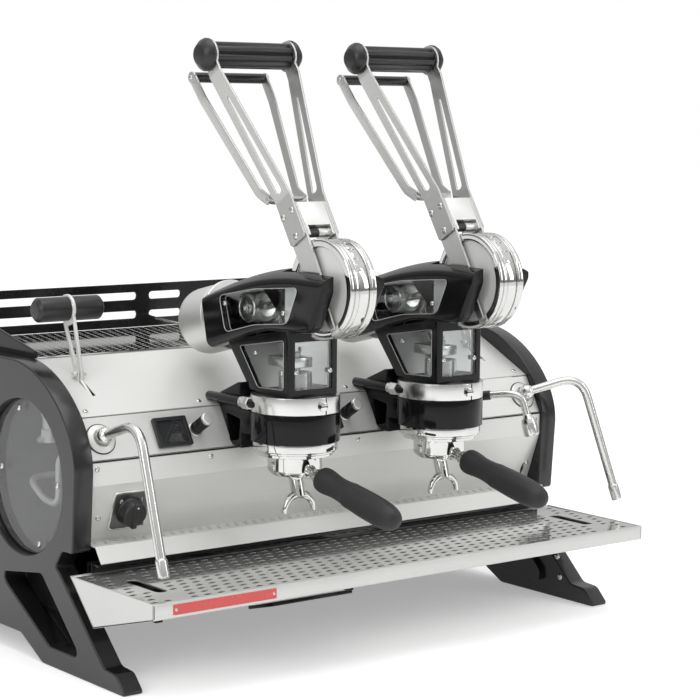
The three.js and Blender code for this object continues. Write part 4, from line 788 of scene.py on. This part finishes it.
def arm_mesh(side):
    """A flat pierced blade, bent outwards between its two creases."""
    low, bend_low, bend_high = ARM["low"], ARM["bend_low"], ARM["bend_high"]
    head = arc(0, ARM["eye_at"], 20, -54, 234, 36)
    outline = [(16.5, low + 3), (16.5, bend_low), (12.5, bend_high), *head, (-12.5, bend_high),
               (-16.5, bend_low), (-16.5, low + 3), (-13.5, low), (13.5, low)]
    slot = rounded([(-6, 136), (6, 136), (1.8, 276), (-1.8, 276)], 6, 6)
    shape = bmesh.new()
    shape.from_mesh(across(outline, ARM["thick"], 0.5, (slot, circle(0, ARM["eye_at"], 8.2))))
    for z in (bend_low, bend_high):
        everything = shape.verts[:] + shape.edges[:] + shape.faces[:]
        bmesh.ops.bisect_plane(shape, geom=everything, plane_co=(0, 0, z), plane_no=(0, 0, 1))
    for vert in shape.verts:
        share = (vert.co.z - bend_low) / (bend_high - bend_low)
        share = min(max(share, 0), 1)
        vert.co.x += side * (ARM["root"] + share * (ARM["splay"] - ARM["root"]))
    return new_mesh(shape)


GRIP = {"flutes": 8, "steps": 14, "radius": 17, "groove": 4}
# Where along the grip its radius is which share of the whole
GRIP_ENDS = [(-59.2, 0.9), (-58.2, 0.97), (-56.5, 1), (56.5, 1), (58.2, 0.97), (59.2, 0.9)]
CAP_PROFILE = [
    (0, 62.8), (20.2, 62.8), (21, 63.8), (21, 66.3), (19.5, 69.5), (12.6, 76.4), (11.6, 76.8), (0, 76.8),
]


def grip_mesh():
    section = []
    for k, (c, s) in enumerate(circle(0, 0, 1, GRIP["flutes"] * GRIP["steps"])):
        radius = GRIP["radius"] - GRIP["groove"] * abs(math.sin(math.pi * k / GRIP["steps"])) ** 5
        section.append((radius * c, radius * s))
    return sweep([(x, 0, 0) for x, _ in GRIP_ENDS], section, (0, 1, 0), [(s, s) for _, s in GRIP_ENDS])


# The release's side bands, by width, depth and height in the lever's own frame
BAND_ROUTE = [(27, 26, 141), (29, 37, 158), (54, 49, 301), (56.4, 51.5, 337)]
FOOT_ROUTE = [(-27, 26, 143), (-20, 24.8, 139), (20, 24.8, 139), (27, 26, 143)]
RELEASE_BAR = (51.5, 337)


def release_meshes():
    strap = rect(-7, 7, -1.5, 1.5, 0.6, 2)
    meshes = []
    for side, _ in SIDES:
        route = [(side * x, y, z) for x, y, z in BAND_ROUTE]
        meshes.append(sweep(rounded(route, 5, 5, False), strap, (0, 1, 0)))
        meshes.append(cross_rod(7.4, -1.5, 1.5, 0.4, side * 57.2, *RELEASE_BAR))
    meshes.append(sweep(rounded(FOOT_ROUTE, 6, 5, False), strap, (0, 1, 0)))
    meshes.append(cross_rod(4, -30, 30, 0.5, 0, 26, 141))
    return meshes


WEB_AT, CHEEK_AT, CLAMP_AT, BAR_SCREW_AT = 15.6, 22.3, 17, 59
ARM_SCREWS = [(27.1, -8.8, 106.8), (27.1, 11.6, 107.4), (27.1, 0.7, 75.8)]


def add_levers():
    wheel = shifted(soft_lathe([*FRONT_WHEEL, *WHEEL_PROFILE], 0.4, 120), ACROSS_X)
    pads = belt_pads()
    web = across(circle(0, 0, 52, 96), 1.6, 0.3, [circle(0, 0, 16)[::-1]])
    root = [(-16.5, 114), (-16.5, 60), *arc(0, 0, 14, 180, 360), (16.5, 60), (16.5, 114)]
    cheek = across(root, 3, 0.5, [circle(0, 0, 5.3)])
    core = carved(block(-20.8, 20.8, -16.5, 16.5, 68, 114.5, 1.4), block(-17, 17, -30, 30, 40, 81.5))
    near_roller, far_roller = (cross_rod(6, *span, 0.5, 0, -7, 75.3) for span in ((-20.8, 0), (0.2, 20.8)))
    tail = across(rounded([(-7, -10), (7, -10), (5, -55), (-5, -55)], 2), 2.2, 0.4)
    clamp = block(-4, 4, -8, 8, -61, -52, 1)
    grip, cap = grip_mesh(), lathe(CAP_PROFILE, 72)
    grip_ring = soft_lathe([(8.2, 61), (19, 61), (19, 62.75), (8.2, 62.75)], 0.3, 64, True)
    arms = {side: arm_mesh(side) for side, _ in SIDES}
    arm_screw, bar_screw = dome_screw(4.5, 1.9), dome_screw(3, 1.4)
    bands = release_meshes()
    bar = soft_lathe([(0, -56), (5.6, -56), (6.6, -52), (6.6, 52), (5.6, 56), (0, 56)], 1.5, 40)
    bar = shifted(bar, ACROSS_X)
    for i in GROUP_X:
        line = at_group(i, 0, *HUB, (LEVER_LEAN, 0, 0))
        hold = line @ moved(0, 0, ARM["eye_at"])
        lever = partial(piece, here=line, body=f"lever_{i}")
        release = partial(piece, here=line, body=f"release_{i}")
        lever(f"lever_wheel_{i}", "chrome_plate", wheel, pads, stands_for=f"lever_{i}_wheel")
        lever(f"wheel_web_{i}", "lining", *pair(web, line, WEB_AT))
        lever(f"lever_fork_{i}", "satin_aluminium", core, stands_for=f"lever_{i}_fork")
        lever(f"lever_cheeks_{i}", "brushed_steel", *pair(cheek, line, CHEEK_AT), far_roller,
              (tail, line @ moved(-CHEEK_AT)), (clamp, line @ moved(-CLAMP_AT)))
        lever(f"fork_roller_{i}", "black_plastic", near_roller)
        for side, hand in SIDES:
            lever(f"lever_arm_{hand}_{i}", "arm_steel", arms[side], stands_for=f"lever_{i}_arm_{hand}")
        screws = [spot for place in ARM_SCREWS for spot in outward_pair(arm_screw, line, *place)]
        lever(f"arm_screws_{i}", "chrome_plate", *screws)
        lever(f"lever_grip_{i}", "rubber_grip", (grip, hold), *outward_pair(cap, hold), sharp=50,
              stands_for=f"lever_{i}_grip")
        lever(f"grip_rings_{i}", "bright_edge", *outward_pair(grip_ring, hold))
        release(f"release_band_{i}", "arm_steel", *bands, stands_for=f"lever_{i}_release")
        release(f"release_bar_{i}", "rubber_grip", (bar, line @ moved(0, *RELEASE_BAR)))
        heads = outward_pair(bar_screw, line, BAR_SCREW_AT, *RELEASE_BAR)
        release(f"release_screws_{i}", "chrome_plate", *heads)


# Body

# Half widths of the sheets between the side plates and of the drip tray
SHEET_HALF, TRAY_HALF = 372.7, 400
SIDE_AT, SIDE_THICK = 386.5, 27
PORT = (305, 230)
PORT_RADIUS, PANE_RADIUS = 99, 98.7
# The ring lies on the pane, between these distances from the pane's middle plane
RING_LOW, RING_HIGH, RING_RADIUS = 2.9, 3.5, 96.6
SIDE_FOOT = [(65, 5), (65, 0), (257, 0), (311, 28), (478, 28), (520, 0), (574, 0), (590, 16), (590, 40)]
SIDE_FRONT = [(175, 250), (182, 151), (206, 151), (223, 129), (213, 122), (110, 25), (83, 23), (65, 5)]
LEG_SLOT = [(352, 100), (258, 114), (173, 34), (174, 25), (239, 25), (350, 88)]
# The pan behind the leg's slot, and its inner outline as shares of the outer one about a middle
LEG_PAN = [(357, 104), (256, 119), (168, 36), (168, 20), (242, 20), (356, 87)]
PAN_MIDDLE, PAN_SHARES = (262, 70), (0.965, 0.94)
PAN_FLOOR_AT, PAN_WALL_AT = 366.4, 370
PORT_SCREWS = [(24, 84), (-70, -2.4), (-24, -84), (70, 2.4)]
LEG_SCREWS = [(131.5, 30.7), (138.6, 59.2)]
PORT_SCREW_AT, LEG_SCREW_AT = 389.5, 373


def add_sides():
    top = bend((590, 287), (590, 347), (560, 377), (500, 377))
    brow = bend((330, 377), (252.5, 377), (175, 313.5), (175, 250), 20)
    outline = [*rounded(SIDE_FOOT, 4, 3, False), *top, *brow, *rounded(SIDE_FRONT, 5, 4, False)[1:-1]]
    leg = rounded(LEG_SLOT, 5)[::-1]
    panel = across(outline, SIDE_THICK, 1.8, (circle(*PORT, PORT_RADIUS, 96)[::-1], leg), 3)
    pane = across(circle(*PORT, PANE_RADIUS, 96), 6, 0.6)
    ring = shifted(soft_lathe(rect(RING_RADIUS, PANE_RADIUS, RING_LOW, RING_HIGH), 0.2, 96, True), ACROSS_X)
    screw = dome_screw(4.2, 1.8)
    pan = rounded(LEG_PAN, 5)
    inner = [tuple(m + s * (v - m) for v, m, s in zip(point, PAN_MIDDLE, PAN_SHARES)) for point in pan]
    floor, wall = across(pan, 1.4, 0.3), across(pan, 6.6, 0.3, [inner[::-1]])
    for side, hand in SIDES:
        here = placed(side * SIDE_AT)
        piece(f"side_panel_{hand}", "black_side", panel, here=here, stands_for=f"side_plate_{hand}")
        piece(f"port_pane_{hand}", "smoked_glass", pane, here=here, stands_for=f"side_window_{hand}")
        piece(f"leg_backing_{hand}", "black_side", (floor, placed(side * PAN_FLOOR_AT)),
              (wall, placed(side * PAN_WALL_AT)))
        # The ring is drawn on the pane's right face; on the left side it moves to the other one
        rim = placed(side * SIDE_AT, *PORT) @ moved(0 if side > 0 else -RING_LOW - RING_HIGH)
        piece(f"port_ring_{hand}", "black_gloss", ring, here=rim)
        screws = [placed(side * PORT_SCREW_AT, PORT[0] + y, PORT[1] + z) @ outward(side)
                  for y, z in PORT_SCREWS]
        if side > 0:
            screws += [placed(LEG_SCREW_AT, *place) @ outward(-1) for place in LEG_SCREWS]
        piece(f"port_screws_{hand}", "chrome_plate", *[(screw, place) for place in screws])


# The boiler's pipes behind a round window, by width, depth and height
PIPE_RUNS = [
    [(280, 363, 262), (346, 363, 262), (346, 325, 276), (346, 325, 350)],
    [(270, 372, 214), (352, 372, 214), (352, 331, 190), (352, 295, 190), (352, 295, 256), (270, 295, 256)],
]


VALVE_AT, VALVE_TAB_AT = (346, 325, 292), (334, 333, 292)


def add_side_works():
    """The boiler's pipes and a valve on its tab, seen through each round window."""
    valve = together(rod(10, -26, 26, 0.8), *[shifted(nut(14, 10), moved(0, 0, z)) for z in (14, -14)])
    tab = across(rect(-32, 32, -22, 26, 4), 2.5, 0.4, [circle(y, 16, 4)[::-1] for y in (-22, 22)])
    for side, hand in SIDES:
        pipes = []
        for run in PIPE_RUNS:
            path = rounded([(side * x, y, z) for x, y, z in run], 18, 8, False)
            pipes.append(tube(path, 4.4, (0.7, 0.1, -0.7)))
        piece(f"boiler_pipes_{hand}", "lining", (valve, placed(side * VALVE_AT[0], *VALVE_AT[1:])), *pipes)
        piece(f"valve_tab_{hand}", "lining", tab, here=placed(side * VALVE_TAB_AT[0], *VALVE_TAB_AT[1:]))


def slot_loops(x0, x1, y0, y1, columns, rows, size, slant, skip=None):
    """Rows of small slots with pointed ends, each next row moved by a share of a step."""
    step, rise = (x1 - x0) / columns, (y1 - y0) / rows
    half, deep = size[0] / 2, size[1] / 2
    loop = [(-half, 0), (-half + deep, -deep), (half - deep, -deep), (half, 0), (half - deep, deep),
            (-half + deep, deep)]
    c, s = math.cos(math.radians(slant)), math.sin(math.radians(slant))
    loops = []
    for row in range(rows):
        y = y0 + (row + 0.5) * rise
        for k in range(columns):
            x = x0 + (k + 0.2 + 0.3 * (row % 3)) * step
            if not (skip and skip(x)):
                loops.append([(x + a * c - b * s, y + a * s + b * c) for a, b in loop][::-1])
    return loops


SPLASH_FOLDS = [(159.6, 139.6), (173, 158), (208, 158), (181, 232), (181, 262.6)]


def add_splash():
    """The folded splash panel, its step pierced by a row of small slots, and its sight glass."""
    strips = []
    for (y0, z0), (y1, z1) in zip(SPLASH_FOLDS, SPLASH_FOLDS[1:]):
        length = math.hypot(y1 - y0, z1 - z0)
        slots = slot_loops(-366, 366, 8, 27, 52, 2, (9, 5), 30) if z0 == z1 else []
        outline = rect(-SHEET_HALF, SHEET_HALF, -0.4, length + 0.4)
        tilt = math.degrees(math.atan2(z1 - z0, y1 - y0))
        strips.append((plate(outline, slots, 1.6, 0.5), placed(0, y0, z0, (tilt, 0, 0))))
    piece("splash_sheet", "panel_steel", *strips, stands_for="splash_panel")
    lens = plate(rounded([(-3, 0), (0, -11), (3, 0), (0, 11)], 3, 4), (), 2, 0.6)
    piece("sight_lens", "screen", lens, here=placed(357, 199.6, 180, (110, 0, 0)))


TAP_AT = (327, 286, 356.98)
COVER_FROM, COVER_TO = (211.6, 313.3), (334, 372)
COVER_TILT = 25.63
# Half width, start and end of a tap's slot up the cover
TAP_SLOT = (3.5, 43.2, 99.2)


def add_cover():
    """The sloping upper cover with a slot for each tap's tail and two small ears for its pin."""
    length = math.dist(COVER_FROM, COVER_TO)
    tap_x, tap_y, tap_z = TAP_AT
    half, low, high = TAP_SLOT
    slots = [rect(x - half, x + half, low, high, 3.4)[::-1] for x in (-tap_x, tap_x)]
    sheet = plate(rect(-SHEET_HALF, SHEET_HALF, 0, length), slots, 2, 0.5)
    ear = across([(-5.5, -12), (5.5, -12), *arc(0, 0, 5.5, 0, 180, 16)], 1.8, 0.4)
    pin = dome_screw(3.6, 1.6)
    ears, pins = [], []
    for x in (-tap_x, tap_x):
        here = placed(x, tap_y, tap_z)
        ears += pair(ear, here, half)
        pins += outward_pair(pin, here, 4.4)
    piece("cover_sheet", "panel_steel", (sheet, placed(0, *COVER_FROM, (COVER_TILT, 0, 0))), *ears,
          stands_for="upper_cover")
    piece("tap_pin_heads", "chrome_plate", *pins)
    piece("band_shadow_gap", "shadow_gap", block(-372.5, 372.5, 179.8, 181.4, 260.7, 262.9))
    shadow = block(-SHEET_HALF, SHEET_HALF, 181, 184, 124.5, 139, 0.6)
    piece("apron_shadow_strip", "black_gloss", shadow)


# Screws by their places across, depth, height and tilt
PANEL_SCREWS = [
    ((-357, -189, 50, 357), 221, 319, 25.6),
    ((-365, -197, 41, 363), 180.2, 253, 90),
    ((-355, 362), 195.6, 189, 70),
]


def add_panel_screws():
    screw = dome_screw(3.6, 1.7)
    heads = [(screw, placed(x, y, z, (tilt, 0, 0))) for row, y, z, tilt in PANEL_SCREWS for x in row]
    piece("panel_screws", "chrome_plate", *heads)


FINGER_AT = 351.7
CUP_TRAY_Z, GRILLE_Z = 374.6, 122


def near_finger(x):
    """Whether a slot would run into one of the grille's two finger slots."""
    return abs(abs(x) - FINGER_AT) < 17


def add_trays():
    warm = slot_loops(-368, 368, 338, 570, 60, 17, (7.4, 3.6), 20)
    top = plate(rect(-SHEET_HALF, SHEET_HALF, 334, 572.7, 1.5, 2), warm, 1.4, 0.25, 1)
    piece("cup_tray_sheet", "mirror_steel", top, here=placed(0, 0, CUP_TRAY_Z), stands_for="cup_tray")
    piece("cup_tray_backing", "lining", block(-372, 372, 335, 572, 372.4, 373.4))
    piece("drip_well_shade", "shadow_gap", block(-397, 397, 3, 184, 115.5, 116.5))
    drip = slot_loops(-393, 393, 7, 176, 42, 11, (13.4, 5.6), 16, near_finger)
    fingers = [rect(x - 8, x + 8, 53.15, 129.15, 7.9, 5)[::-1] for x in (-FINGER_AT, FINGER_AT)]
    net = plate(rect(-397.7, 397.7, 2.3, 180, 1.5, 2), [*drip, *fingers], 2, 0.25, 1)
    piece("grille_sheet", "grille_steel", net, here=placed(0, 0, GRILLE_Z), body="tray_grille",
          stands_for="tray_grille")


RAIL_FOOT, RAIL_TOP = 375.6, 438
RAIL_SLOT_ROWS = [(415, 426), (388, 399)]
RAIL_SLOTS = [(-346.7, -59), (-38, 17), (100, 346.7)]


def add_rail():
    slots = [rect(*wide, *high, 5.4)[::-1] for high in RAIL_SLOT_ROWS for wide in RAIL_SLOTS]
    back = facing(rect(-SHEET_HALF, SHEET_HALF, RAIL_FOOT, RAIL_TOP), 4, 0.8, slots)
    cheek_line = [(316, RAIL_FOOT), (577, RAIL_FOOT), (577, RAIL_TOP), (560, RAIL_TOP), (316, RAIL_FOOT + 9)]
    slit = rounded([(485, 388), (560, 388), (560, 399), (500, 399)], 4, 3)[::-1]
    cheek = across(rounded(cheek_line, 6), 4, 0.8, [slit])
    piece("cup_rail_sheet", "black_paint", (back, placed(0, 575)), *pair(cheek, placed(), 370.7),
          stands_for="cup_rail")
    stay = tube(rounded([(-41.7, 573, 391.8), (-52, 520, 390.5), (-60.8, 420, 389)], 20, 4, False), 1.6)
    piece("rail_stay", "bright_edge", stay)


TROUGH = [(0, 124), (0, 105), (134, 69), (188, 124)]
TROUGH_INSIDE = [(185.6, 124), (133.4, 71.4), (2, 106.6), (2, 124)]
NAME_X, NAME_Z = -299, 114.6
NAME_HALF, STUD_AT = (74, 6.3), 70


def add_drip_tray():
    trough = across(rounded([*TROUGH, *TROUGH_INSIDE], 0.9, 2), 2 * TRAY_HALF, 0.4)
    end = across(rounded(TROUGH, 1.5, 3), 2, 0.5)
    piece("drip_trough", "tray_steel", trough, *pair(end, placed(), TRAY_HALF - 1), stands_for="drip_tray")
    wide, high = NAME_HALF
    name = facing(rect(-wide, wide, -high, high, 1.4), 1.2, 0.3)
    piece("bare_plate", "red_enamel", name, here=placed(NAME_X, -0.3, NAME_Z))
    stud = dome_screw(1.8, 0.8)
    piece("plate_studs", "chrome_plate",
          *[(stud, placed(NAME_X + x, -0.9, NAME_Z, (90, 0, 0))) for x in (-STUD_AT, STUD_AT)])
    rest = block(-180, -55, 4, 60, 90.5, 95, 1)
    piece("tray_bearer", "black_paint", rest, here=placed(0, 40, -8, (-15, 0, 0)))


BAND_TILT = 30.96
BAND_FOOT = (181, 263)
# Left of the group's middle, and up the band
DISPLAY_AT, SELECTOR_AT = (128, 27), (92, 28)


def band_place(x, along):
    """A place just off the sloping control band: across it and up its slope."""
    tilt, lift = math.radians(BAND_TILT), 0.6
    y = BAND_FOOT[0] + along * math.sin(tilt) - lift * math.cos(tilt)
    z = BAND_FOOT[1] + along * math.cos(tilt) + lift * math.sin(tilt)
    return placed(x, y, z, (-BAND_TILT, 0, 0))


def knurled(thick, y):
    """A ribbed disc of the selector, 60 points round."""
    ribs, grooves = circle(0, 0, 8.2, 60), circle(0, 0, 7.6, 60)
    line = [ribs[k] if k % 2 else grooves[k] for k in range(60)]
    return facing(line[::-1], thick, 0.6, (), y)


def fronted(profile, edge, steps=64, closed=False):
    """A turned piece that stands on the front face."""
    return shifted(soft_lathe(profile, edge, steps, closed), FACING_FRONT)


def front_rod(radius, low, high, edge):
    return shifted(rod(radius, low, high, edge), FACING_FRONT)


def add_displays():
    rim = facing(rect(-25, 25, -20, 20, 2.5), 5, 0.8, [rect(-20, 20, -15.5, 15.5, 1.2)[::-1]])
    glass = facing(rect(-20.2, 20.2, -15.7, 15.7, 1), 1.2, 0.2)
    well = block(-20.2, 20.2, -0.6, 0.4, -15.7, 15.7)
    knob_parts = [knurled(15, -22.5), knurled(9, -8), front_rod(7.2, 3.2, 31, 0.3)]
    cap = fronted([(0, 30), (8, 30), (8, 34), (7, 35), (0, 35)], 0.4)
    collar = fronted([(0, 0.3), (9.6, 0.3), (9.6, 1.4), (8.6, 2.2), (0, 2.2)], 0.3)
    for i, x in GROUP_X.items():
        here, knob = (band_place(x - left, along) for left, along in (DISPLAY_AT, SELECTOR_AT))
        piece(f"display_frame_{i}", "black_plastic", rim, here=here @ moved(0, -2.5),
              stands_for=f"display_{i}")
        piece(f"display_well_{i}", "screen", well, here=here @ moved(0, -1))
        piece(f"display_glass_{i}", "clear_glass", glass, here=here @ moved(0, -4))
        piece(f"selector_{i}", "black_plastic", *knob_parts, here=knob, body=f"selector_{i}",
              stands_for=f"selector_knob_{i}")
        piece(f"selector_cap_{i}", "satin_aluminium", cap, here=knob, body=f"selector_{i}")
        piece(f"selector_collar_{i}", "brushed_steel", collar, here=knob)


SWITCH_AT, SWITCH_TILT = (-313, 193.49, 197), 20.05
SWITCH_HALF, SCALE_HALF, SWITCH_BORE = 27, 24.6, 5.4
SKIRT_PROFILE = [(0, 4.3), (19, 4.3), (19, 6.2), (17.6, 8), (16.8, 18), (15.4, 20.3), (0, 20.3)]


def add_switch():
    here = placed(*SWITCH_AT, (SWITCH_TILT, 0, 0))
    hole = circle(0, 0, SWITCH_BORE)[::-1]
    base = facing(rect(-SWITCH_HALF, SWITCH_HALF, -SWITCH_HALF, SWITCH_HALF, 6, 6), 4, 0.8, [hole], -2)
    scale = facing(rect(-SCALE_HALF, SCALE_HALF, -SCALE_HALF, SCALE_HALF, 5, 6), 1.2, 0.3, [hole], -4.1)
    piece("switch_base", "bright_edge", base, here=here, stands_for="switch_plate")
    piece("switch_scale", "graphite", scale, here=here)
    off = facing(rect(-1.6, 1.6, -2.6, 2.6, 1.5), 0.3, 0, [rect(-0.9, 0.9, -1.9, 1.9, 0.85)[::-1]])
    on = facing(rect(-0.4, 0.4, -2.6, 2.6), 0.3, 0)
    piece("switch_marks", "white_mark", (off, here @ moved(-15, -4.9, 14)), (on, here @ moved(15, -4.9, 14)))
    bar = block(-4, 4, -22, -12, -18, 17, 1.8, 3)
    piece("switch_knob_body", "black_plastic", fronted(SKIRT_PROFILE, 0.8), bar, front_rod(4, 0.2, 5, 0.2),
          here=here, body="switch_knob", stands_for="switch_knob")
    piece("switch_dot", "white_mark", front_rod(1.3, 21.9, 22.2, 0.1), here=here @ moved(0, 0, 12),
          body="switch_knob")


SOCKET_PROFILE = [(11.3, 0), (18.4, 0), (19, 0.6), (19, 1.8), (18, 2.6), (12.6, 4.4), (11.3, 4.4)]
WAND_X, WAND_END = 351, (0, -126, -133)
SOCKET_AT, WAND_AT = (195.4, 287), (185.46, 292.98)
WAND_SWING = {"left": 0, "right": 51}


def add_wands():
    socket = fronted(SOCKET_PROFILE, 0.4, 64, True)
    ring = fronted([(18, 0), (20.4, 0), (20.4, 0.8), (18, 0.8)], 0.2, 64, True)
    pipe = tube(rounded([(0, 0, 0), (0, -77, 25), WAND_END], 34, 12, False), 6.3)
    tip = soft_lathe([(0, -22), (6.4, -22), (7.6, -20.6), (7.6, -1), (6.5, 1.5), (0, 1.5)], 0.8, 40)
    nozzle = shifted(tip, moved(*WAND_END, (-17.2, 0, 0)))
    for side, hand in SIDES:
        lean = placed(side * WAND_X, *SOCKET_AT, (-BAND_TILT, 0, 0))
        piece(f"wand_cup_{hand}", "panel_steel", socket, here=lean, stands_for=f"wand_socket_{hand}")
        piece(f"wand_cup_ring_{hand}", "black_plastic", ring, here=lean)
        here = placed(side * WAND_X, *WAND_AT, (0, 0, WAND_SWING[hand]))
        piece(f"wand_{hand}", "soft_chrome", ball(11), pipe, nozzle, here=here, body=f"steam_wand_{hand}",
              stands_for=f"steam_wand_{hand}")


SPOUT_AT, SPOUT_SWING, SPOUT_LEAN = (236, 187.34, 294.18), 40, 16
SPOUT_REACH, SPOUT_RISE, SPOUT_DROP = 78, 10, 34
SPOUT_TIP = [(0, -28), (9.2, -28), (10.8, -26), (11, -18), (10.8, -10), (9, -4), (7, -1), (5.4, 2), (0, 2)]


def add_spout():
    here = placed(*SPOUT_AT, (0, 0, SPOUT_SWING))
    lean = math.radians(SPOUT_LEAN)
    top = (0, -SPOUT_REACH, SPOUT_RISE)
    end = (0, top[1] - SPOUT_DROP * math.sin(lean), top[2] - SPOUT_DROP * math.cos(lean))
    parts = [
        ball(10), shifted(nut(9, 10), moved(0, -10), FACING_FRONT),
        tube(rounded([(0, 0, 0), top, end], 28, 12, False), 5.2),
        shifted(soft_lathe(SPOUT_TIP, 0.4, 48), moved(*end, (-SPOUT_LEAN, 0, 0))),
    ]
    piece("spout_pipe", "soft_chrome", *parts, here=here, body="water_spout", stands_for="water_spout")
    piece("spout_ferrule", "black_plastic", front_rod(6.6, 22, 36, 0.6), here=here @ moved(turn=(-7.3, 0, 0)),
          body="water_spout")


TAP_EYE = 85
TAP_LEAN = -19


def add_taps():
    eye = arc(0, TAP_EYE, 18.5, -51, 231, 30)
    foot = [(-9, 0), (-3.5, -9), (-23, -36.8), (-16, -39.6), (9, -9)]
    outline = [(9, 0), (13.5, 71.8), *eye, (-13.5, 71.8), *foot]
    slot = rounded([(-3, 12), (3, 12), (9.6, 64), (-9.6, 64)], 2.5)[::-1]
    blade = across(rounded(outline, 1.5, 2), 4, 0.7, (slot, circle(0, TAP_EYE, 6.3)[::-1]))
    pin = cross_rod(3.4, -9, 9)
    grip = soft_lathe([(0, 2.3), (15.7, 2.3), (15.7, 43.5), (10.7, 48), (0, 48)], 1.0)
    band = soft_lathe([(0, -2.2), (16.2, -2.2), (16.2, 2.2), (0, 2.2)], 0.3)
    for side, hand in SIDES:
        x, y, z = TAP_AT
        here = placed(side * x, y, z, (TAP_LEAN, 0, 0))
        hold = here @ moved(0, 0, TAP_EYE)
        body = f"steam_tap_{hand}"
        piece(f"tap_blade_{hand}", "panel_steel", blade, pin, here=here, body=body,
              stands_for=f"steam_tap_lever_{hand}")
        piece(f"tap_grip_{hand}", "rubber_grip", *outward_pair(grip, hold), body=body,
              stands_for=f"steam_tap_grip_{hand}")
        piece(f"tap_band_{hand}", "bright_edge", band, here=hold @ outward(1), body=body)


# Camera, floor and light


def add_camera():
    data = bpy.data.cameras.new("camera")
    data.sensor_fit = "HORIZONTAL"
    data.sensor_width = SENSOR
    data.lens = SENSOR * PHOTO["focal_px"] / PHOTO["size"]
    data.clip_start = 0.05
    camera = linked("camera", data)
    aim = turned((90 - PHOTO["elevation"], 0, PHOTO["azimuth"])) @ turned((0, 0, PHOTO["roll"]))
    camera.matrix_world = Matrix.Translation(at(*CAMERA_AT)) @ aim
    bpy.context.scene.camera = camera


WHITE = (1, 1, 1, 1)
FLOOR_GLOW = 0.34
FLOOR_REACH = 14.0
# Even light of the room, and how bright its walls look in metal at the height of the horizon
ROOM_LIGHT = 0.84
HORIZON = 0.27


def seen_rays(tree):
    """One for a ray from the camera or off metal and glass, else zero."""
    rays = node(tree, "LightPath").outputs
    seen = node(tree, "Math", {0: rays["Is Camera Ray"], 1: rays["Is Glossy Ray"]}, "MAXIMUM")
    return node(tree, "Math", {0: seen, 1: rays["Is Transmission Ray"]}, "MAXIMUM")


def floor_material():
    """A pale floor that reads as white paper and keeps the shadow."""
    material, tree, surface = shader("paper_floor")
    fill(tree, surface, {"Base Color": (0.86, 0.86, 0.86, 1), "Roughness": 0.9, "Specular IOR Level": 0.0})
    share = node(tree, "Math", {0: seen_rays(tree), 1: FLOOR_GLOW}, "MULTIPLY")
    glow = node(tree, "Emission", {"Color": WHITE, "Strength": share})
    fill(tree, tree.nodes["Material Output"], {"Surface": node(tree, "AddShader", {0: surface, 1: glow})})
    return material


def add_floor():
    mesh = bpy.data.meshes.new("floor")
    corners = [(x, y, 0) for x, y in rect(-FLOOR_REACH, FLOOR_REACH, -FLOOR_REACH, FLOOR_REACH)]
    mesh.from_pydata(corners, [], [(0, 1, 2, 3)])
    mesh.materials.append(floor_material())
    linked("floor", mesh)


def add_world():
    """White to the camera, metal and glass; a soft even room to everything else."""
    world = bpy.data.worlds.new("studio")
    world.use_nodes = True
    bpy.context.scene.world = world
    tree = world.node_tree
    tree.nodes.clear()
    height = node(tree, "SeparateXYZ", {"Vector": node(tree, "TexCoord").outputs["Generated"]})
    level = node(tree, "ValToRGB", {"Fac": height.outputs["Z"]})
    low, high = level.color_ramp.elements
    low.color, high.color = (HORIZON, HORIZON, HORIZON, 1), WHITE
    high.position = 0.6
    camera_ray = node(tree, "LightPath").outputs["Is Camera Ray"]
    seen = node(tree, "MixRGB", {"Fac": camera_ray, "Color1": level, "Color2": WHITE})
    paper = node(tree, "Background", {"Color": seen})
    room = node(tree, "Background", {"Color": WHITE, "Strength": ROOM_LIGHT})
    mix = node(tree, "MixShader", {"Fac": seen_rays(tree), 1: room, 2: paper})
    node(tree, "OutputWorld", {"Surface": mix})


# Place, aim, width and height in metres, and watts of the lamps
LAMPS = {
    "top_softbox": ((-0.2, -0.4, 3.0), (0, 0, 0.2), (2.6, 2.2), 34),
    "left_softbox": ((-2.8, -1.0, 1.7), (0, 0, 0.35), (0.7, 2.0), 16),
    "right_softbox": ((2.2, -2.6, 1.6), (0, 0, 0.3), (0.6, 2.0), 14),
}


def add_lights():
    for name, (place, aim, size, energy) in LAMPS.items():
        data = bpy.data.lights.new(name, "AREA")
        data.shape = "RECTANGLE"
        data.size, data.size_y = size
        data.energy = energy
        lamp = linked(name, data)
        lamp.location = place
        lamp.rotation_euler = (Vector(aim) - Vector(place)).to_track_quat("-Z", "Y").to_euler()


dress_cad_nodes()
add_sides()
add_side_works()
add_panel_screws()
add_splash()
add_cover()
add_trays()
add_rail()
add_drip_tray()
add_displays()
add_switch()
add_wands()
add_spout()
add_taps()
add_housings()
add_springs()
add_pistons()
add_group_bodies()
add_portafilters()
add_levers()
add_camera()
add_floor()
add_world()
add_lights()
bpy.context.scene.view_settings.view_transform = "Standard"
